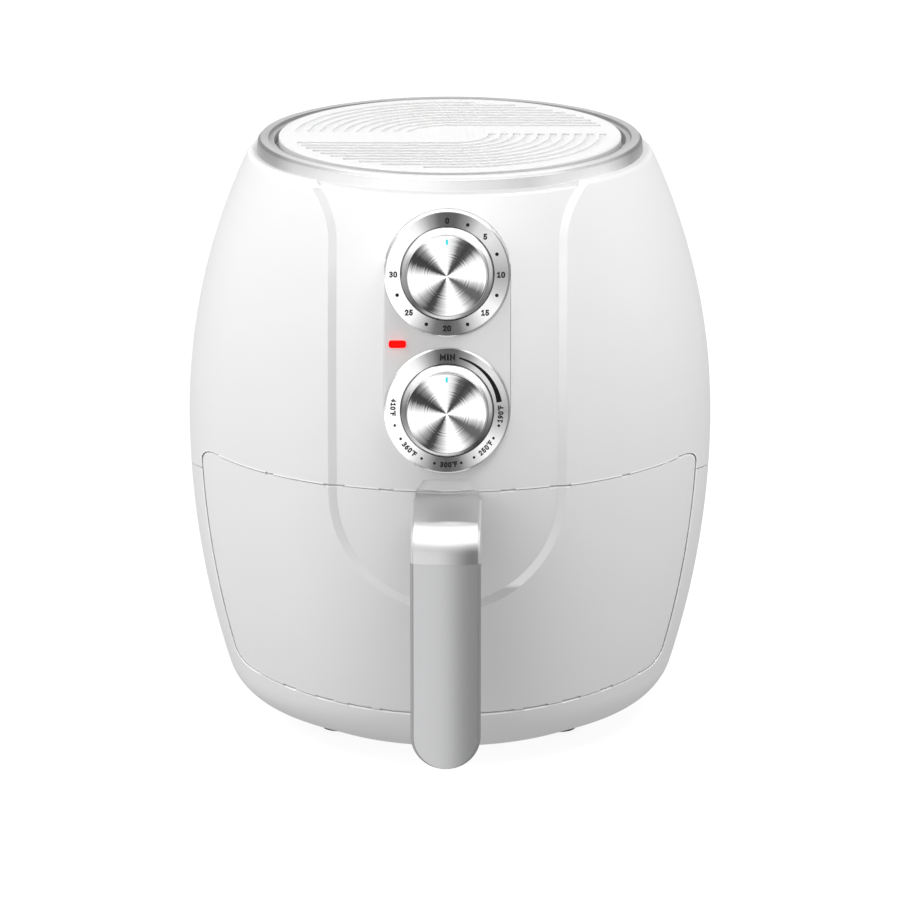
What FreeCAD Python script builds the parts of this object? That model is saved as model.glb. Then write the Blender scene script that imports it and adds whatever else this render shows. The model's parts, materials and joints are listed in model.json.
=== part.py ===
import FreeCAD, Part
import Sketcher
import math
import os
from FreeCAD import Vector, Placement, Rotation

# Round hot-air fryer: barrel-shaped housing, slide-out basket drawer with a
# hooked handle, two dials on a raised stadium pad, motor and heater above the
# basket.  Millimetres, +Z up, the drawer opens towards -Y.  Pieces are drawn
# about the vertical axis of the barrel, then moved back by axis_y so that the
# origin is under the middle of the whole outline, on the surface it stands on.

doc = FreeCAD.newDocument("hot_air_fryer")
sheet = doc.addObject("Spreadsheet::Sheet", "Dims")

DIMS = [
    # overall
    ("axis_y", 29.5), ("foot_high", 3.0), ("foot_rad", 10.0), ("foot_x", 57.0), ("foot_y", 41.5),
    # barrel profile
    ("base_rad", 82.0), ("cone_rad", 100.587), ("cone_z", 11.158), ("knee_rad", 27.762),
    ("heel_rad", 115.990), ("heel_z", 28.5), ("low_bow", 445.0),
    ("belly_rad", 135.25), ("belly_z", 158.0), ("high_bow", 324.0),
    ("brow_rad", 104.15), ("brow_z", 296.5), ("brow_round", 3.0), ("wall", 3.0),
    ("top_hole", 84.0), ("base_hole", 62.0),
    # parting line between the shells
    ("seam_z", 132.3), ("seam_slope", 0.185), ("seam_gap", 0.5),
    # drawer outline, front view
    ("front_top", 153.0), ("front_half", 126.4), ("front_corner", 8.0),
    ("front_low_x", 110.3), ("front_low_z", 45.5), ("front_side_bow", 490.0),
    ("front_foot_x", 99.8), ("front_foot_z", 37.7), ("front_foot_round", 11.0), ("front_foot_bow", 803.0),
    ("front_gap", 0.2), ("lip", 2.4), ("edge_break", 0.7),
    # recessed panel
    ("recess", 1.8), ("recess_in", 55.2), ("recess_out", 59.3), ("recess_mid", 149.0), ("recess_flare", 272.0),
    # control pad
    ("pad_y", 126.2), ("pad_z", 228.1), ("pad_tilt", 8.7), ("pad_rad", 31.2), ("dial_off", 33.9),
    ("pad_face", 5.0), ("pad_deep", 15.0), ("well_rad", 23.2), ("well_deep", 2.5),
    ("bezel_rad", 31.2), ("bezel_high", 1.1),
    ("skirt_rad", 22.9), ("knob_low", 20.7), ("knob_top", 20.0), ("knob_high", 15.2),
    ("cap_rad", 19.75), ("cap_high", 1.0), ("dial_shaft", 3.0),
    # top
    ("ring_rad", 99.0), ("ring_in", 90.2), ("ring_top", 305.1), ("lid_rad", 87.8), ("lid_top", 305.8),
    ("rib_first", 21.5), ("rib_step", 6.3), ("rib_wide", 3.7), ("rib_deep", 0.9), ("rib_field", 81.0),
    # handle
    ("grip_front", 194.25), ("grip_wide", 34.5), ("grip_top", 152.2), ("grip_low", 27.6), ("grip_bend", 14.0),
    ("plate_wide", 31.4), ("plate_edge", 1.2), ("plate_crown", 1.65), ("plate_split", 133.5),
    # chamber
    ("liner_rad", 104.0), ("liner_low", 34.0), ("liner_high", 155.0), ("liner_front", 40.0), ("sheet_metal", 1.0),
    ("mouth_rad", 92.0), ("dome_rad", 93.0), ("dome_top", 208.0),
    ("coil_out", 78.0), ("coil_in", 62.0), ("coil_tube", 3.2), ("coil_z", 172.0),
    ("shaft_rad", 4.0), ("fan_rad", 52.0), ("cool_rad", 42.0),
    # basket
    ("pan_low", 39.0), ("pan_high", 149.0), ("pan_rad", 96.8), ("pan_rim", 99.5),
    ("tray_rad", 80.0), ("tray_z", 50.0),
]
for row, (name, value) in enumerate(DIMS, 1):
    sheet.set("A%d" % row, name)
    sheet.set("B%d" % row, repr(value))
    sheet.setAlias("B%d" % row, name)
doc.recompute()


class Num:
    """A number together with the sheet formula that gives it."""

    def __init__(self, v, e):
        self.v, self.e = float(v), e

    def __add__(self, o):
        o = num(o)
        return Num(self.v + o.v, "(%s + %s)" % (self.e, o.e))

    def __sub__(self, o):
        o = num(o)
        return Num(self.v - o.v, "(%s - %s)" % (self.e, o.e))

    def __mul__(self, o):
        o = num(o)
        return Num(self.v * o.v, "(%s * %s)" % (self.e, o.e))

    def __truediv__(self, o):
        o = num(o)
        return Num(self.v / o.v, "(%s / %s)" % (self.e, o.e))

    def __neg__(self):
        return Num(-self.v, "(0 - %s)" % self.e)

    def __radd__(self, o):
        return num(o) + self

    def __rsub__(self, o):
        return num(o) - self

    def __rmul__(self, o):
        return num(o) * self


def num(x):
    if isinstance(x, Num):
        return x
    return Num(x, "(%.6f)" % x)


def bound(q):
    return isinstance(q, Num) and "Dims." in q.e


class Bag:
    pass


D = Bag()
for name, value in DIMS:
    setattr(D, name, Num(value, "Dims." + name))


def bind(obj, prop, q):
    q = num(q)
    if bound(q):
        obj.setExpression(prop, q.e)


def at(obj, x, y, z, axis="z"):
    """Put a primitive at a point, its own Z along the given axis."""
    x, y, z = num(x), num(y), num(z)
    turn = {"z": Rotation(), "y": Rotation(Vector(1, 0, 0), -90), "x": Rotation(Vector(0, 1, 0), 90)}[axis]
    obj.Placement = Placement(Vector(x.v, y.v, z.v), turn)
    for c, q in (("x", x), ("y", y), ("z", z)):
        bind(obj, "Placement.Base." + c, q)
    return obj


count = [0]


def fresh(stem):
    count[0] += 1
    return "%s_%d" % (stem, count[0])


def box(x0, x1, y0, y1, z0, z1, stem="block"):
    o = doc.addObject("Part::Box", fresh(stem))
    x0, x1, y0, y1, z0, z1 = [num(q) for q in (x0, x1, y0, y1, z0, z1)]
    o.Length, o.Width, o.Height = x1.v - x0.v, y1.v - y0.v, z1.v - z0.v
    bind(o, "Length", x1 - x0)
    bind(o, "Width", y1 - y0)
    bind(o, "Height", z1 - z0)
    return at(o, x0, y0, z0)


def cyl(r, h, x, y, z, axis="z", stem="round"):
    o = doc.addObject("Part::Cylinder", fresh(stem))
    r, h = num(r), num(h)
    o.Radius, o.Height = r.v, h.v
    bind(o, "Radius", r)
    bind(o, "Height", h)
    return at(o, x, y, z, axis)


def cone(r1, r2, h, x, y, z, axis="z", stem="taper"):
    o = doc.addObject("Part::Cone", fresh(stem))
    r1, r2, h = num(r1), num(r2), num(h)
    o.Radius1, o.Radius2, o.Height = r1.v, r2.v, h.v
    bind(o, "Radius1", r1)
    bind(o, "Radius2", r2)
    bind(o, "Height", h)
    return at(o, x, y, z, axis)


def fuse(*objs):
    o = doc.addObject("Part::MultiFuse", fresh("join"))
    o.Shapes = list(objs)
    return o


def cut(base, *tools):
    o = doc.addObject("Part::Cut", fresh("cut"))
    o.Base = base
    o.Tool = tools[0] if len(tools) == 1 else fuse(*tools)
    return o


def carve(base, *tools):
    """Cuts taken one after another."""
    for t in tools:
        base = cut(base, t)
    return base


def common(a, b):
    o = doc.addObject("Part::Common", fresh("meet"))
    o.Base, o.Tool = a, b
    return o


def group(*objs):
    o = doc.addObject("Part::Compound", fresh("set"))
    o.Links = list(objs)
    return o


def new_body(stem):
    return doc.addObject("PartDesign::Body", fresh(stem))


def sketch(body, role, lift=None):
    s = body.newObject("Sketcher::SketchObject", fresh("outline"))
    plane = [f for f in body.Origin.OriginFeatures if getattr(f, "Role", "") == role][0]
    s.AttachmentSupport = [(plane, "")]
    s.MapMode = "FlatFace"
    if lift is not None:
        lift = num(lift)
        s.AttachmentOffset = Placement(Vector(0, 0, lift.v), Rotation())
        bind(s, "AttachmentOffset.Base.z", lift)
    return s


def fix_point(cons, geo, pos, x, y):
    for word, q, line in (("DistanceX", num(x), -2), ("DistanceY", num(y), -1)):
        if abs(q.v) < 1e-9:
            cons.append((Sketcher.Constraint("PointOnObject", geo, pos, line), None))
        elif q.v > 0:
            cons.append((Sketcher.Constraint(word, -1, 1, geo, pos, q.v), q))
        else:
            cons.append((Sketcher.Constraint(word, geo, pos, -1, 1, -q.v), -q))


def apply_cons(s, cons):
    first = s.ConstraintCount
    s.addConstraint([c for c, q in cons])
    for i, (c, q) in enumerate(cons):
        if q is not None and bound(q):
            s.setExpression("Constraints[%d]" % (first + i), q.e)


def loop(s, pts):
    """Closed outline.  A point (x, y) starts a line, (x, y, r, turn) starts an
    arc of radius r, turn +1 counter-clockwise or -1 clockwise."""
    n = len(pts)
    cons, ends = [], []
    for i, p in enumerate(pts):
        q = pts[(i + 1) % n]
        a = Vector(num(p[0]).v, num(p[1]).v, 0)
        b = Vector(num(q[0]).v, num(q[1]).v, 0)
        if len(p) == 2:
            g = s.addGeometry(Part.LineSegment(a, b), False)
            ends.append((g, 1, 2))
        else:
            r, turn = num(p[2]), p[3]
            d = b - a
            half = d.Length / 2.0
            side = Vector(-d.y, d.x, 0)
            side.normalize()
            c = (a + b) * 0.5 + side * (turn * math.sqrt(max(r.v ** 2 - half ** 2, 0.0)))
            first, last = (a, b) if turn > 0 else (b, a)
            a0 = math.atan2(first.y - c.y, first.x - c.x)
            a1 = math.atan2(last.y - c.y, last.x - c.x)
            if a1 <= a0:
                a1 += 2 * math.pi
            g = s.addGeometry(Part.ArcOfCircle(Part.Circle(c, Vector(0, 0, 1), r.v), a0, a1), False)
            ends.append((g, 1, 2) if turn > 0 else (g, 2, 1))
            cons.append((Sketcher.Constraint("Radius", g, r.v), r))
    for i in range(n):
        g, start, end = ends[i]
        g2, start2, end2 = ends[(i + 1) % n]
        cons.append((Sketcher.Constraint("Coincident", g, end, g2, start2), None))
        fix_point(cons, g, start, pts[i][0], pts[i][1])
    apply_cons(s, cons)


def ring(s, x, y, r):
    r = num(r)
    g = s.addGeometry(Part.Circle(Vector(num(x).v, num(y).v, 0), Vector(0, 0, 1), r.v), False)
    cons = [(Sketcher.Constraint("Radius", g, r.v), r)]
    if abs(num(x).v) < 1e-9 and abs(num(y).v) < 1e-9:
        cons.append((Sketcher.Constraint("Coincident", g, 3, -1, 1), None))
    else:
        fix_point(cons, g, 3, x, y)
    apply_cons(s, cons)


def slot(s, x0, x1, y0, y1):
    loop(s, [(x0, y0), (x1, y0), (x1, y1), (x0, y1)])


def pad(body, s, length, back=False, middle=False):
    f = body.newObject("PartDesign::Pad", fresh("pad"))
    f.Profile = s
    length = num(length)
    f.Length = length.v
    bind(f, "Length", length)
    f.Reversed = back
    if middle:
        f.SideType = "Symmetric"
    return f


def pocket(body, s, length, back=False):
    f = body.newObject("PartDesign::Pocket", fresh("pocket"))
    f.Profile = s
    length = num(length)
    f.Length = length.v
    bind(f, "Length", length)
    f.Reversed = back
    return f


def spin(body, s):
    f = body.newObject("PartDesign::Revolution", fresh("spin"))
    f.Profile = s
    f.ReferenceAxis = (s, ["V_Axis"])
    f.Angle = 360
    return f


def turned(stem, pts):
    """A piece of revolution about Z from its half section (radius, height)."""
    b = new_body(stem)
    s = sketch(b, "XZ_Plane")
    loop(s, pts)
    spin(b, s)
    return b


def prism_y(stem, pts, y0, y1):
    """A prism along Y from a front-view outline (x, z)."""
    b = new_body(stem)
    s = sketch(b, "XZ_Plane", -num(y1))
    loop(s, pts)
    pad(b, s, num(y1) - num(y0))
    return b


def prism_x(stem, pts, width):
    """A prism across X, centred, from a side-view outline (y, z)."""
    b = new_body(stem)
    s = sketch(b, "YZ_Plane")
    loop(s, pts)
    pad(b, s, width, middle=True)
    return b


def prism_z(stem, pts, z0, z1, holes=()):
    b = new_body(stem)
    s = sketch(b, "XY_Plane", z0)
    loop(s, pts)
    for h in holes:
        ring(s, *h)
    pad(b, s, num(z1) - num(z0))
    return b


def fan_wheel(stem, rad, hub, z0, z1, blade_z0, blade_z1, blades, inner):
    """Backed impeller: hub, disc and straight radial blades."""
    b = new_body(stem)
    s = sketch(b, "XY_Plane", z0)
    ring(s, 0, 0, rad)
    ring(s, 0, 0, D.shaft_rad + 0.02)
    pad(b, s, num(z1) - num(z0))
    s = sketch(b, "XY_Plane", blade_z0)
    ring(s, 0, 0, hub)
    ring(s, 0, 0, D.shaft_rad + 0.02)
    pad(b, s, num(z0) - num(blade_z0) if num(blade_z0).v < num(z0).v else num(z1) - num(blade_z0))
    s = sketch(b, "XY_Plane", blade_z0)
    slot(s, inner, rad - 1.0, -0.7, 0.7)
    f = pad(b, s, num(blade_z1) - num(blade_z0))
    doc.recompute()
    p = b.newObject("PartDesign::PolarPattern", fresh("around"))
    p.Originals = [f]
    p.Axis = (s, ["N_Axis"])
    p.Angle = 360
    p.Occurrences = blades
    b.Tip = p
    return b


# ---------------------------------------------------------------- barrel form

N_CONE = (0.4019, -0.9157)
N_HEEL = (0.9567, -0.2910)
N_BROW = (0.9040, 0.4275)


def hull(inset):
    """Solid of the barrel, its skin moved inwards by inset."""
    o = num(inset)
    z0 = D.foot_high + o
    top = D.brow_z + (1 - N_BROW[1]) * D.brow_round - o
    p0 = (D.base_rad - o * 0.2098, z0)
    p1 = (D.cone_rad - o * N_CONE[0], D.cone_z - o * N_CONE[1])
    p2 = (D.heel_rad - o * N_HEEL[0], D.heel_z - o * N_HEEL[1])
    p3 = (D.belly_rad - o, D.belly_z)
    p4 = (D.brow_rad - o * N_BROW[0], D.brow_z - o * N_BROW[1])
    p5x = D.brow_rad - D.brow_round * N_BROW[0]
    pts = [(0, z0), p0, p1 + (D.knee_rad - o, 1), p2 + (D.low_bow - o, 1)]
    if o.v < 2.9:
        pts += [p3 + (D.high_bow - o, 1), p4 + (D.brow_round - o, 1), (p5x, top)]
    else:
        pts += [p3 + (D.high_bow - o, 1), p4]
        top = p4[1]
    pts.append((0, top))
    return turned("barrel", [p[:1] + p[1:] for p in pts])


def skin(z, inset=0.0):
    """Radius of the barrel's skin at height z (for laying out the bevel)."""
    def v(q):
        return q.v
    if z >= D.belly_z.v:
        r = v(D.belly_rad) - v(D.high_bow) + math.sqrt(v(D.high_bow) ** 2 - (z - v(D.belly_z)) ** 2)
        slope = (z - v(D.belly_z)) / v(D.high_bow)
    else:
        r = v(D.belly_rad) - v(D.low_bow) + math.sqrt(v(D.low_bow) ** 2 - (z - v(D.belly_z)) ** 2)
        slope = (z - v(D.belly_z)) / v(D.low_bow)
    return r - inset / math.sqrt(1 - slope * slope)


hull_out = hull(0.0)
hull_in = hull(D.wall)
hull_floor = hull(D.recess)
hull_seat = hull(D.wall + 0.02)
shell = cut(hull_out, hull_in)


def front_outline(grow):
    """Drawer outline in front view, grown by a little all round."""
    g = num(grow)
    top = D.front_top + g
    half = D.front_half + g
    cr = D.front_corner
    lx, lz = D.front_low_x + g, D.front_low_z - g * 0.3
    fx, fz = D.front_foot_x + g * 0.4, D.front_foot_z - g
    return [(-fx, fz, D.front_foot_bow, 1), (fx, fz, D.front_foot_round, 1), (lx, lz, D.front_side_bow, 1),
            (half, top - cr, cr, 1), (half - cr, top), (-(half - cr), top, cr, 1),
            (-half, top - cr, D.front_side_bow, 1), (-lx, lz, D.front_foot_round, 1)]


opening = prism_y("opening", front_outline(D.front_gap), -170.0, -15.0)
front_block = prism_y("front_block", front_outline(-D.front_gap), -170.0, -15.0)


def seam(y, side):
    return D.seam_z - D.seam_slope * y + D.seam_gap * (0.5 * side)


# level ahead of y = -74, so that all of the shell over the drawer is the upper one
above = prism_x("above_seam", [(-160.0, seam(-74.0, 1)), (-74.0, seam(-74.0, 1)), (160.0, seam(160.0, 1)),
                               (160.0, 320.0), (-160.0, 320.0)], 320.0)
below = prism_x("below_seam", [(-160.0, -5.0), (160.0, -5.0), (160.0, seam(160.0, -1)), (-74.0, seam(-74.0, -1)),
                               (-160.0, seam(-74.0, -1))], 320.0)

# Rebate that closes the gap round the drawer from behind: a lip inside the shell,
# clear of the back of the drawer front.
lip = carve(common(cut(hull(D.wall - 0.05), hull(D.wall + 1.8)), prism_y("lip_outer", front_outline(D.front_gap + 2.5), -170.0, -15.0)),
            prism_y("lip_inner", front_outline(-D.lip), -170.0, -10.0),
            cut(prism_y("lip_room", front_outline(D.front_gap + 0.1), -170.0, -10.0), hull(D.wall + 0.4)))

# Recessed U panel: a floor at constant depth inside the inner outline ...
ri = D.recess_in
flare_x = 38.0 - math.sqrt(38.0 ** 2 - (300.0 - D.recess_flare.v) ** 2)
u_prism = prism_y("recess_outline", [
    (-(ri + flare_x), 300.0, 38.0, -1), (-ri, D.recess_flare), (-ri, D.recess_mid, ri, 1), (0, D.recess_mid - ri, ri, 1),
    (ri, D.recess_mid), (ri, D.recess_flare, 38.0, -1), (ri + flare_x, 300.0), (ri + flare_x, 304.0), (-(ri + flare_x), 304.0)],
    -170.0, -60.0)
# (the seat of the top ring stays whole)
band = carve(cyl(165.0, 260.0, 0, 0, 45.0), hull_floor, cyl(D.ring_rad + 0.6, 30.0, 0, 0, 280.0))
recess_floor = common(u_prism, band)


# ... and a sloping bevel between the inner and outer outlines.
def u_pair(s):
    """Matching points (x, z) on the inner and outer outlines, right half."""
    mid, flare = D.recess_mid.v, D.recess_flare.v
    a, b = D.recess_in.v - 0.1, D.recess_out.v
    if s < 1.0:
        t = s * math.pi / 2
        return (a * math.sin(t), mid - a * math.cos(t)), (b * math.sin(t), mid - b * math.cos(t))
    if s < 2.0:
        z = mid + (flare - mid) * (s - 1.0)
        return (a, z), (b, z)
    z = flare + (303.0 - flare) * (s - 2.0)
    rise = (z - flare) ** 2
    return (a + 38.0 - math.sqrt(38.0 ** 2 - rise), z), (b + 36.0 - math.sqrt(36.0 ** 2 - rise), z)


def u_section(s, sign):
    (xi, zi), (xo, zo) = u_pair(s)
    pi_ = Vector(sign * xi, -math.sqrt(skin(zi, D.recess.v - 0.06) ** 2 - xi ** 2), zi)
    po = Vector(sign * xo, -math.sqrt(skin(zo) ** 2 - xo ** 2), zo)
    far = po + (po - pi_) * 0.45
    lift = pi_ + Vector(0, -9.0, 0)
    return Part.makePolygon([pi_, far, lift, pi_])


stops = [i / 14.0 for i in range(14)] + [1.0 + i / 10.0 for i in range(10)] + [2.0 + i / 8.0 for i in range(9)]
order = [(s, -1) for s in reversed(stops[1:])] + [(s, 1) for s in stops]
bevel = doc.addObject("Part::Feature", "recess_bevel")
bevel.Shape = Part.makeLoft([u_section(s, g) for s, g in order], True, True)
bevel = cut(bevel, cyl(D.ring_rad + 0.6, 30.0, 0, 0, 280.0))


# Broken edges along the gap round the drawer: a shallow V that follows the skin.
def rim_points():
    """Points (x, z) along the drawer outline, each with the direction across the gap."""
    raw = [[num(c).v for c in p] for p in front_outline(0.0)]
    runs = []
    for i, p in enumerate(raw):
        q = raw[(i + 1) % len(raw)]
        dx, dz = q[0] - p[0], q[1] - p[1]
        span = math.hypot(dx, dz)
        if len(p) == 2:
            a, b = D.recess_in.v, D.recess_out.v
            xs = sorted(set([p[0], 90.0, b + 0.15, a - 0.15, 30.0, 0.0, -30.0, -a + 0.15, -b - 0.15, -90.0, q[0]]), reverse=True)
            runs.append([(x, p[1], 0.0, 1.0) for x in xs])
            continue
        r = p[2]
        half = span / 2.0
        h = math.sqrt(max(r * r - half * half, 0.0))
        cx, cz = (p[0] + q[0]) / 2.0 - dz / span * h, (p[1] + q[1]) / 2.0 + dx / span * h
        a0 = math.atan2(p[1] - cz, p[0] - cx)
        sweep = 2.0 * math.asin(min(half / r, 1.0))
        n = max(6, int(span / 18.0))
        runs.append([(cx + r * math.cos(a0 + sweep * k / n), cz + r * math.sin(a0 + sweep * k / n),
                      math.cos(a0 + sweep * k / n), math.sin(a0 + sweep * k / n)) for k in range(n + 1)])
    out = []
    for i, run in enumerate(runs):
        last = runs[i - 1][-1]
        nx, nz = last[2] + run[0][2], last[3] + run[0][3]
        size = math.hypot(nx, nz)
        out.append((run[0][0], run[0][1], nx / size, nz / size))
        out.extend(run[1:-1])
    return out


def rim_section(x, z, nx, nz):
    wide, over = D.edge_break.v, 0.35
    pts = []
    for g, h in ((wide + over, over), (-wide - over, over), (0.0, -wide)):
        px, pz = x + g * nx, z + g * nz
        deep = D.recess.v * min(max((D.recess_out.v - abs(x)) / (D.recess_out.v - D.recess_in.v), 0.0), 1.0) if z > 140.0 else 0.0
        r = skin(pz, deep - h)
        pts.append(Vector(px, -math.sqrt(r * r - px * px), pz))
    return Part.makePolygon(pts + pts[:1])


rim_break = doc.addObject("Part::Feature", "rim_break")
rim_break.Shape = Part.makeLoft([rim_section(*p) for p in rim_points()], True, True, True)

finals = []


def final(obj, label, frame="axis"):
    obj.Label = label
    finals.append((obj, label, frame))
    return obj


# ---------------------------------------------------------------- control pad

TILT = 90.0 - D.pad_tilt.v


def stadium(grow):
    r = D.pad_rad + grow
    d = D.dial_off
    return [(-r, -d, r, 1), (0, -d - r, r, 1), (r, -d), (r, d, r, 1), (0, d + r, r, 1), (-r, d)]


pad_hole = prism_z("pad_hole", stadium(0.2), -40.0, 30.0)
pad_hole.Placement = Placement(Vector(0, -D.pad_y.v, D.pad_z.v), Rotation(Vector(1, 0, 0), TILT))
bind(pad_hole, "Placement.Base.y", -D.pad_y)
bind(pad_hole, "Placement.Base.z", D.pad_z)

cp = new_body("control_pad")
s = sketch(cp, "XY_Plane", -D.pad_face)
loop(s, stadium(0.0))
pad_face = pad(cp, s, D.pad_face)
s = sketch(cp, "XY_Plane", -D.pad_face)
loop(s, stadium(0.0))
loop(s, stadium(-2.2))
pad(cp, s, D.pad_deep - D.pad_face, back=True)
BOSS = [(-22.0, 5.0), (22.0, 5.0), (-22.0, -14.0), (22.0, -14.0)]
for bx, by in BOSS:
    s = sketch(cp, "XY_Plane", -D.pad_face)
    ring(s, bx, by, 3.2)
    pad(cp, s, D.pad_deep - D.pad_face, back=True)
s = sketch(cp, "XY_Plane")
ring(s, 0, D.dial_off, D.well_rad)
ring(s, 0, -D.dial_off, D.well_rad)
pocket(cp, s, D.well_deep)
s = sketch(cp, "XY_Plane")
ring(s, 0, D.dial_off, 5.0)
ring(s, 0, -D.dial_off, 5.0)


def window(a, b, c):
    """Rounded window of the lamp, half sizes a and b, corner c."""
    x, y = -24.6, -1.1
    return [(x - a + c, y - b), (x + a - c, y - b, c, 1), (x + a, y - b + c), (x + a, y + b - c, c, 1), (x + a - c, y + b),
            (x - a + c, y + b, c, 1), (x - a, y + b - c), (x - a, y - b + c, c, 1)]


loop(s, window(4.3, 1.9, 1.3))
pocket(cp, s, 8.0)
s = sketch(cp, "XY_Plane", -D.pad_deep)
for bx, by in BOSS:
    ring(s, bx, by, 1.55)
pocket(cp, s, 8.0, back=True)
doc.recompute()
tip = cp.Tip
rim = []
for i, e in enumerate(tip.Shape.Edges, 1):
    bb = e.BoundBox
    if abs(bb.ZMax) < 1e-6 and abs(bb.ZMin) < 1e-6:
        m = e.valueAt((e.FirstParameter + e.LastParameter) / 2)
        d = D.dial_off.v
        if m.y > d:
            reach = math.hypot(m.x, m.y - d)
        elif m.y < -d:
            reach = math.hypot(m.x, m.y + d)
        else:
            reach = abs(m.x)
        if abs(reach - D.pad_rad.v) < 0.05:
            rim.append("Edge%d" % i)
f = cp.newObject("PartDesign::Fillet", fresh("soft"))
f.Base = (tip, rim)
f.Radius = 0.45
final(cp, "control_panel", "panel")


def dial(stem, sign):
    d = D.dial_off * sign
    bz = turned(stem + "_bezel", [
        (D.well_rad, 0), (D.bezel_rad, 0), (D.bezel_rad, D.bezel_high - 0.6), (D.bezel_rad - 0.9, D.bezel_high),
        (D.well_rad + 0.15, D.bezel_high), (D.well_rad, D.bezel_high - 0.15)])
    at_dial(bz, d)
    final(bz, stem + "_bezel", "dial%+d" % sign)
    kn = turned(stem + "_knob", [
        (D.dial_shaft + 0.02, -1.6), (D.skirt_rad - 0.3, -1.6), (D.skirt_rad, -1.2), (D.skirt_rad, 1.2),
        (D.skirt_rad - 0.5, 1.8), (D.knob_low, 2.3), (D.knob_top, D.knob_high), (D.cap_rad, D.knob_high),
        (D.cap_rad, D.knob_high - 0.6), (D.dial_shaft + 0.02, D.knob_high - 0.6)])
    final(kn, stem + "_knob", "dial%+d" % sign)
    cap = turned(stem + "_cap", [
        (0, D.knob_high - 0.58), (D.cap_rad - 0.03, D.knob_high - 0.58), (D.cap_rad - 0.03, D.knob_high + D.cap_high - 0.45),
        (D.cap_rad - 0.4, D.knob_high + D.cap_high), (0, D.knob_high + D.cap_high - 0.12)])
    final(cap, stem + "_knob_cap", "dial%+d" % sign)


def at_dial(obj, d):
    return obj


dial("timer", 1)
dial("temperature", -1)
for stem, sign in (("timer_shaft", 1), ("thermostat_shaft", -1)):
    low = -30.0 if sign > 0 else -28.0
    sh = turned(stem, [(0, low), (D.dial_shaft, low), (D.dial_shaft, D.knob_high - 0.9), (0, D.knob_high - 0.9)])
    final(sh, stem, "dial%+d" % sign)

lens = new_body("lens")
s = sketch(lens, "XY_Plane", -4.8)
loop(s, window(4.22, 1.82, 1.22))
pad(lens, s, 5.5)
final(lens, "indicator_lens", "panel")
final(turned("lamp", [(0, -14.5), (2.7, -14.5), (2.7, -7.0), (1.6, -5.2), (0, -5.2)]), "indicator_lamp", "lamp")

cb = new_body("control_bracket")
s = sketch(cb, "XY_Plane", -D.pad_deep - 1.5)
slot(s, -26.0, 26.0, -57.0, 50.0)
ring(s, 0, D.dial_off, 5.0)
ring(s, 0, -D.dial_off, 5.0)
for bx, by in BOSS:
    ring(s, bx, by, 1.7)
pad(cb, s, 1.5)
final(cb, "control_bracket", "panel")
scr = []
for bx, by in BOSS:
    scr.append(fuse(cyl(2.9, 1.8, bx, by, -18.3), cyl(1.5, 9.0, bx, by, -16.6)))
final(group(*scr), "control_screws", "panel")

tu = new_body("timer_unit")
s = sketch(tu, "XY_Plane", -43.5)
slot(s, -23.0, 23.0, 10.9, 56.9)
pad(tu, s, 27.0)
s = sketch(tu, "XY_Plane", -16.5)
ring(s, 0, D.dial_off, D.dial_shaft + 0.05)
pocket(tu, s, 15.0)
final(tu, "timer_unit", "panel")
final(turned("bell", [(0, -51.0), (14.0, -51.0), (17.0, -48.5), (17.0, -44.5), (15.8, -44.5), (15.8, -48.0),
                      (13.5, -49.8), (2.0, -49.8), (2.0, -43.5), (0, -43.5)]), "timer_bell", "dial+1")
tm = new_body("thermostat")
s = sketch(tm, "XY_Plane", -34.0)
slot(s, -15.0, 15.0, -48.9, -18.9)
pad(tm, s, 17.5)
s = sketch(tm, "XY_Plane", -16.5)
ring(s, 0, -D.dial_off, D.dial_shaft + 0.05)
pocket(tm, s, 12.5)
final(tm, "thermostat_unit", "panel")

# ---------------------------------------------------------------- housing

# thumb rest over the handle: its floor leans back a little, so it looks upwards
thumb = cut(prism_y("thumb_recess", [(-11.4, 159.3), (-17.8, 150.0), (17.8, 150.0), (11.4, 159.3)], -150.0, -110.0),
            cone(133.47, 132.11, 11.5, 0, 0, 149.0))
grille_hole = prism_y("grille_hole", [(-46.0, 168.0), (46.0, 168.0), (46.0, 214.0), (-46.0, 214.0)], 90.0, 150.0)
upper = carve(common(shell, above), opening, cyl(D.top_hole, 40.0, 0, 0, 280.0), recess_floor, bevel, rim_break, pad_hole, thumb, grille_hole)
upper = fuse(upper, common(lip, above))
final(upper, "upper_housing")

POST = [(-70.0, -28.0), (70.0, -28.0), (-70.0, 28.0), (70.0, 28.0)]
BASE_SCREW = [(-30.0, -58.0), (30.0, -58.0), (-30.0, 58.0), (30.0, 58.0)]
low_cut = [opening, rim_break, cyl(D.base_hole, 30.0, 0, 0, -10.0), cyl(8.2, 40.0, 0, 100.0, 62.0, "y")]
low_cut += [cyl(1.7, 20.0, x, y, 0) for x, y in BASE_SCREW]
lower = fuse(cut(common(shell, below), *low_cut),
             common(lip, below),
             *[cyl(5.0, D.liner_low - D.foot_high - 1.0, x, y, D.foot_high + 1.0) for x, y in POST])
final(lower, "lower_housing")

bp = new_body("bottom_plate")
s = sketch(bp, "XY_Plane", D.foot_high + D.wall)
ring(s, 0, 0, 69.0)
for y in (-26.0, -13.0, 0.0, 13.0, 26.0):
    slot(s, -32.0, 32.0, y - 2.5, y + 2.5)
for x, y in BASE_SCREW:
    ring(s, x, y, 1.7)
pad(bp, s, 2.0)
final(bp, "bottom_plate")
final(group(*[fuse(cyl(3.2, 1.6, x, y, 1.4), cyl(1.55, 8.0, x, y, 2.9)) for x, y in BASE_SCREW]), "base_screws")
final(group(*[cone(D.foot_rad - 1.2, D.foot_rad, D.foot_high, sx * D.foot_x, sy * D.foot_y, 0)
              for sx in (-1, 1) for sy in (-1, 1)]), "rubber_feet")

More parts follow.
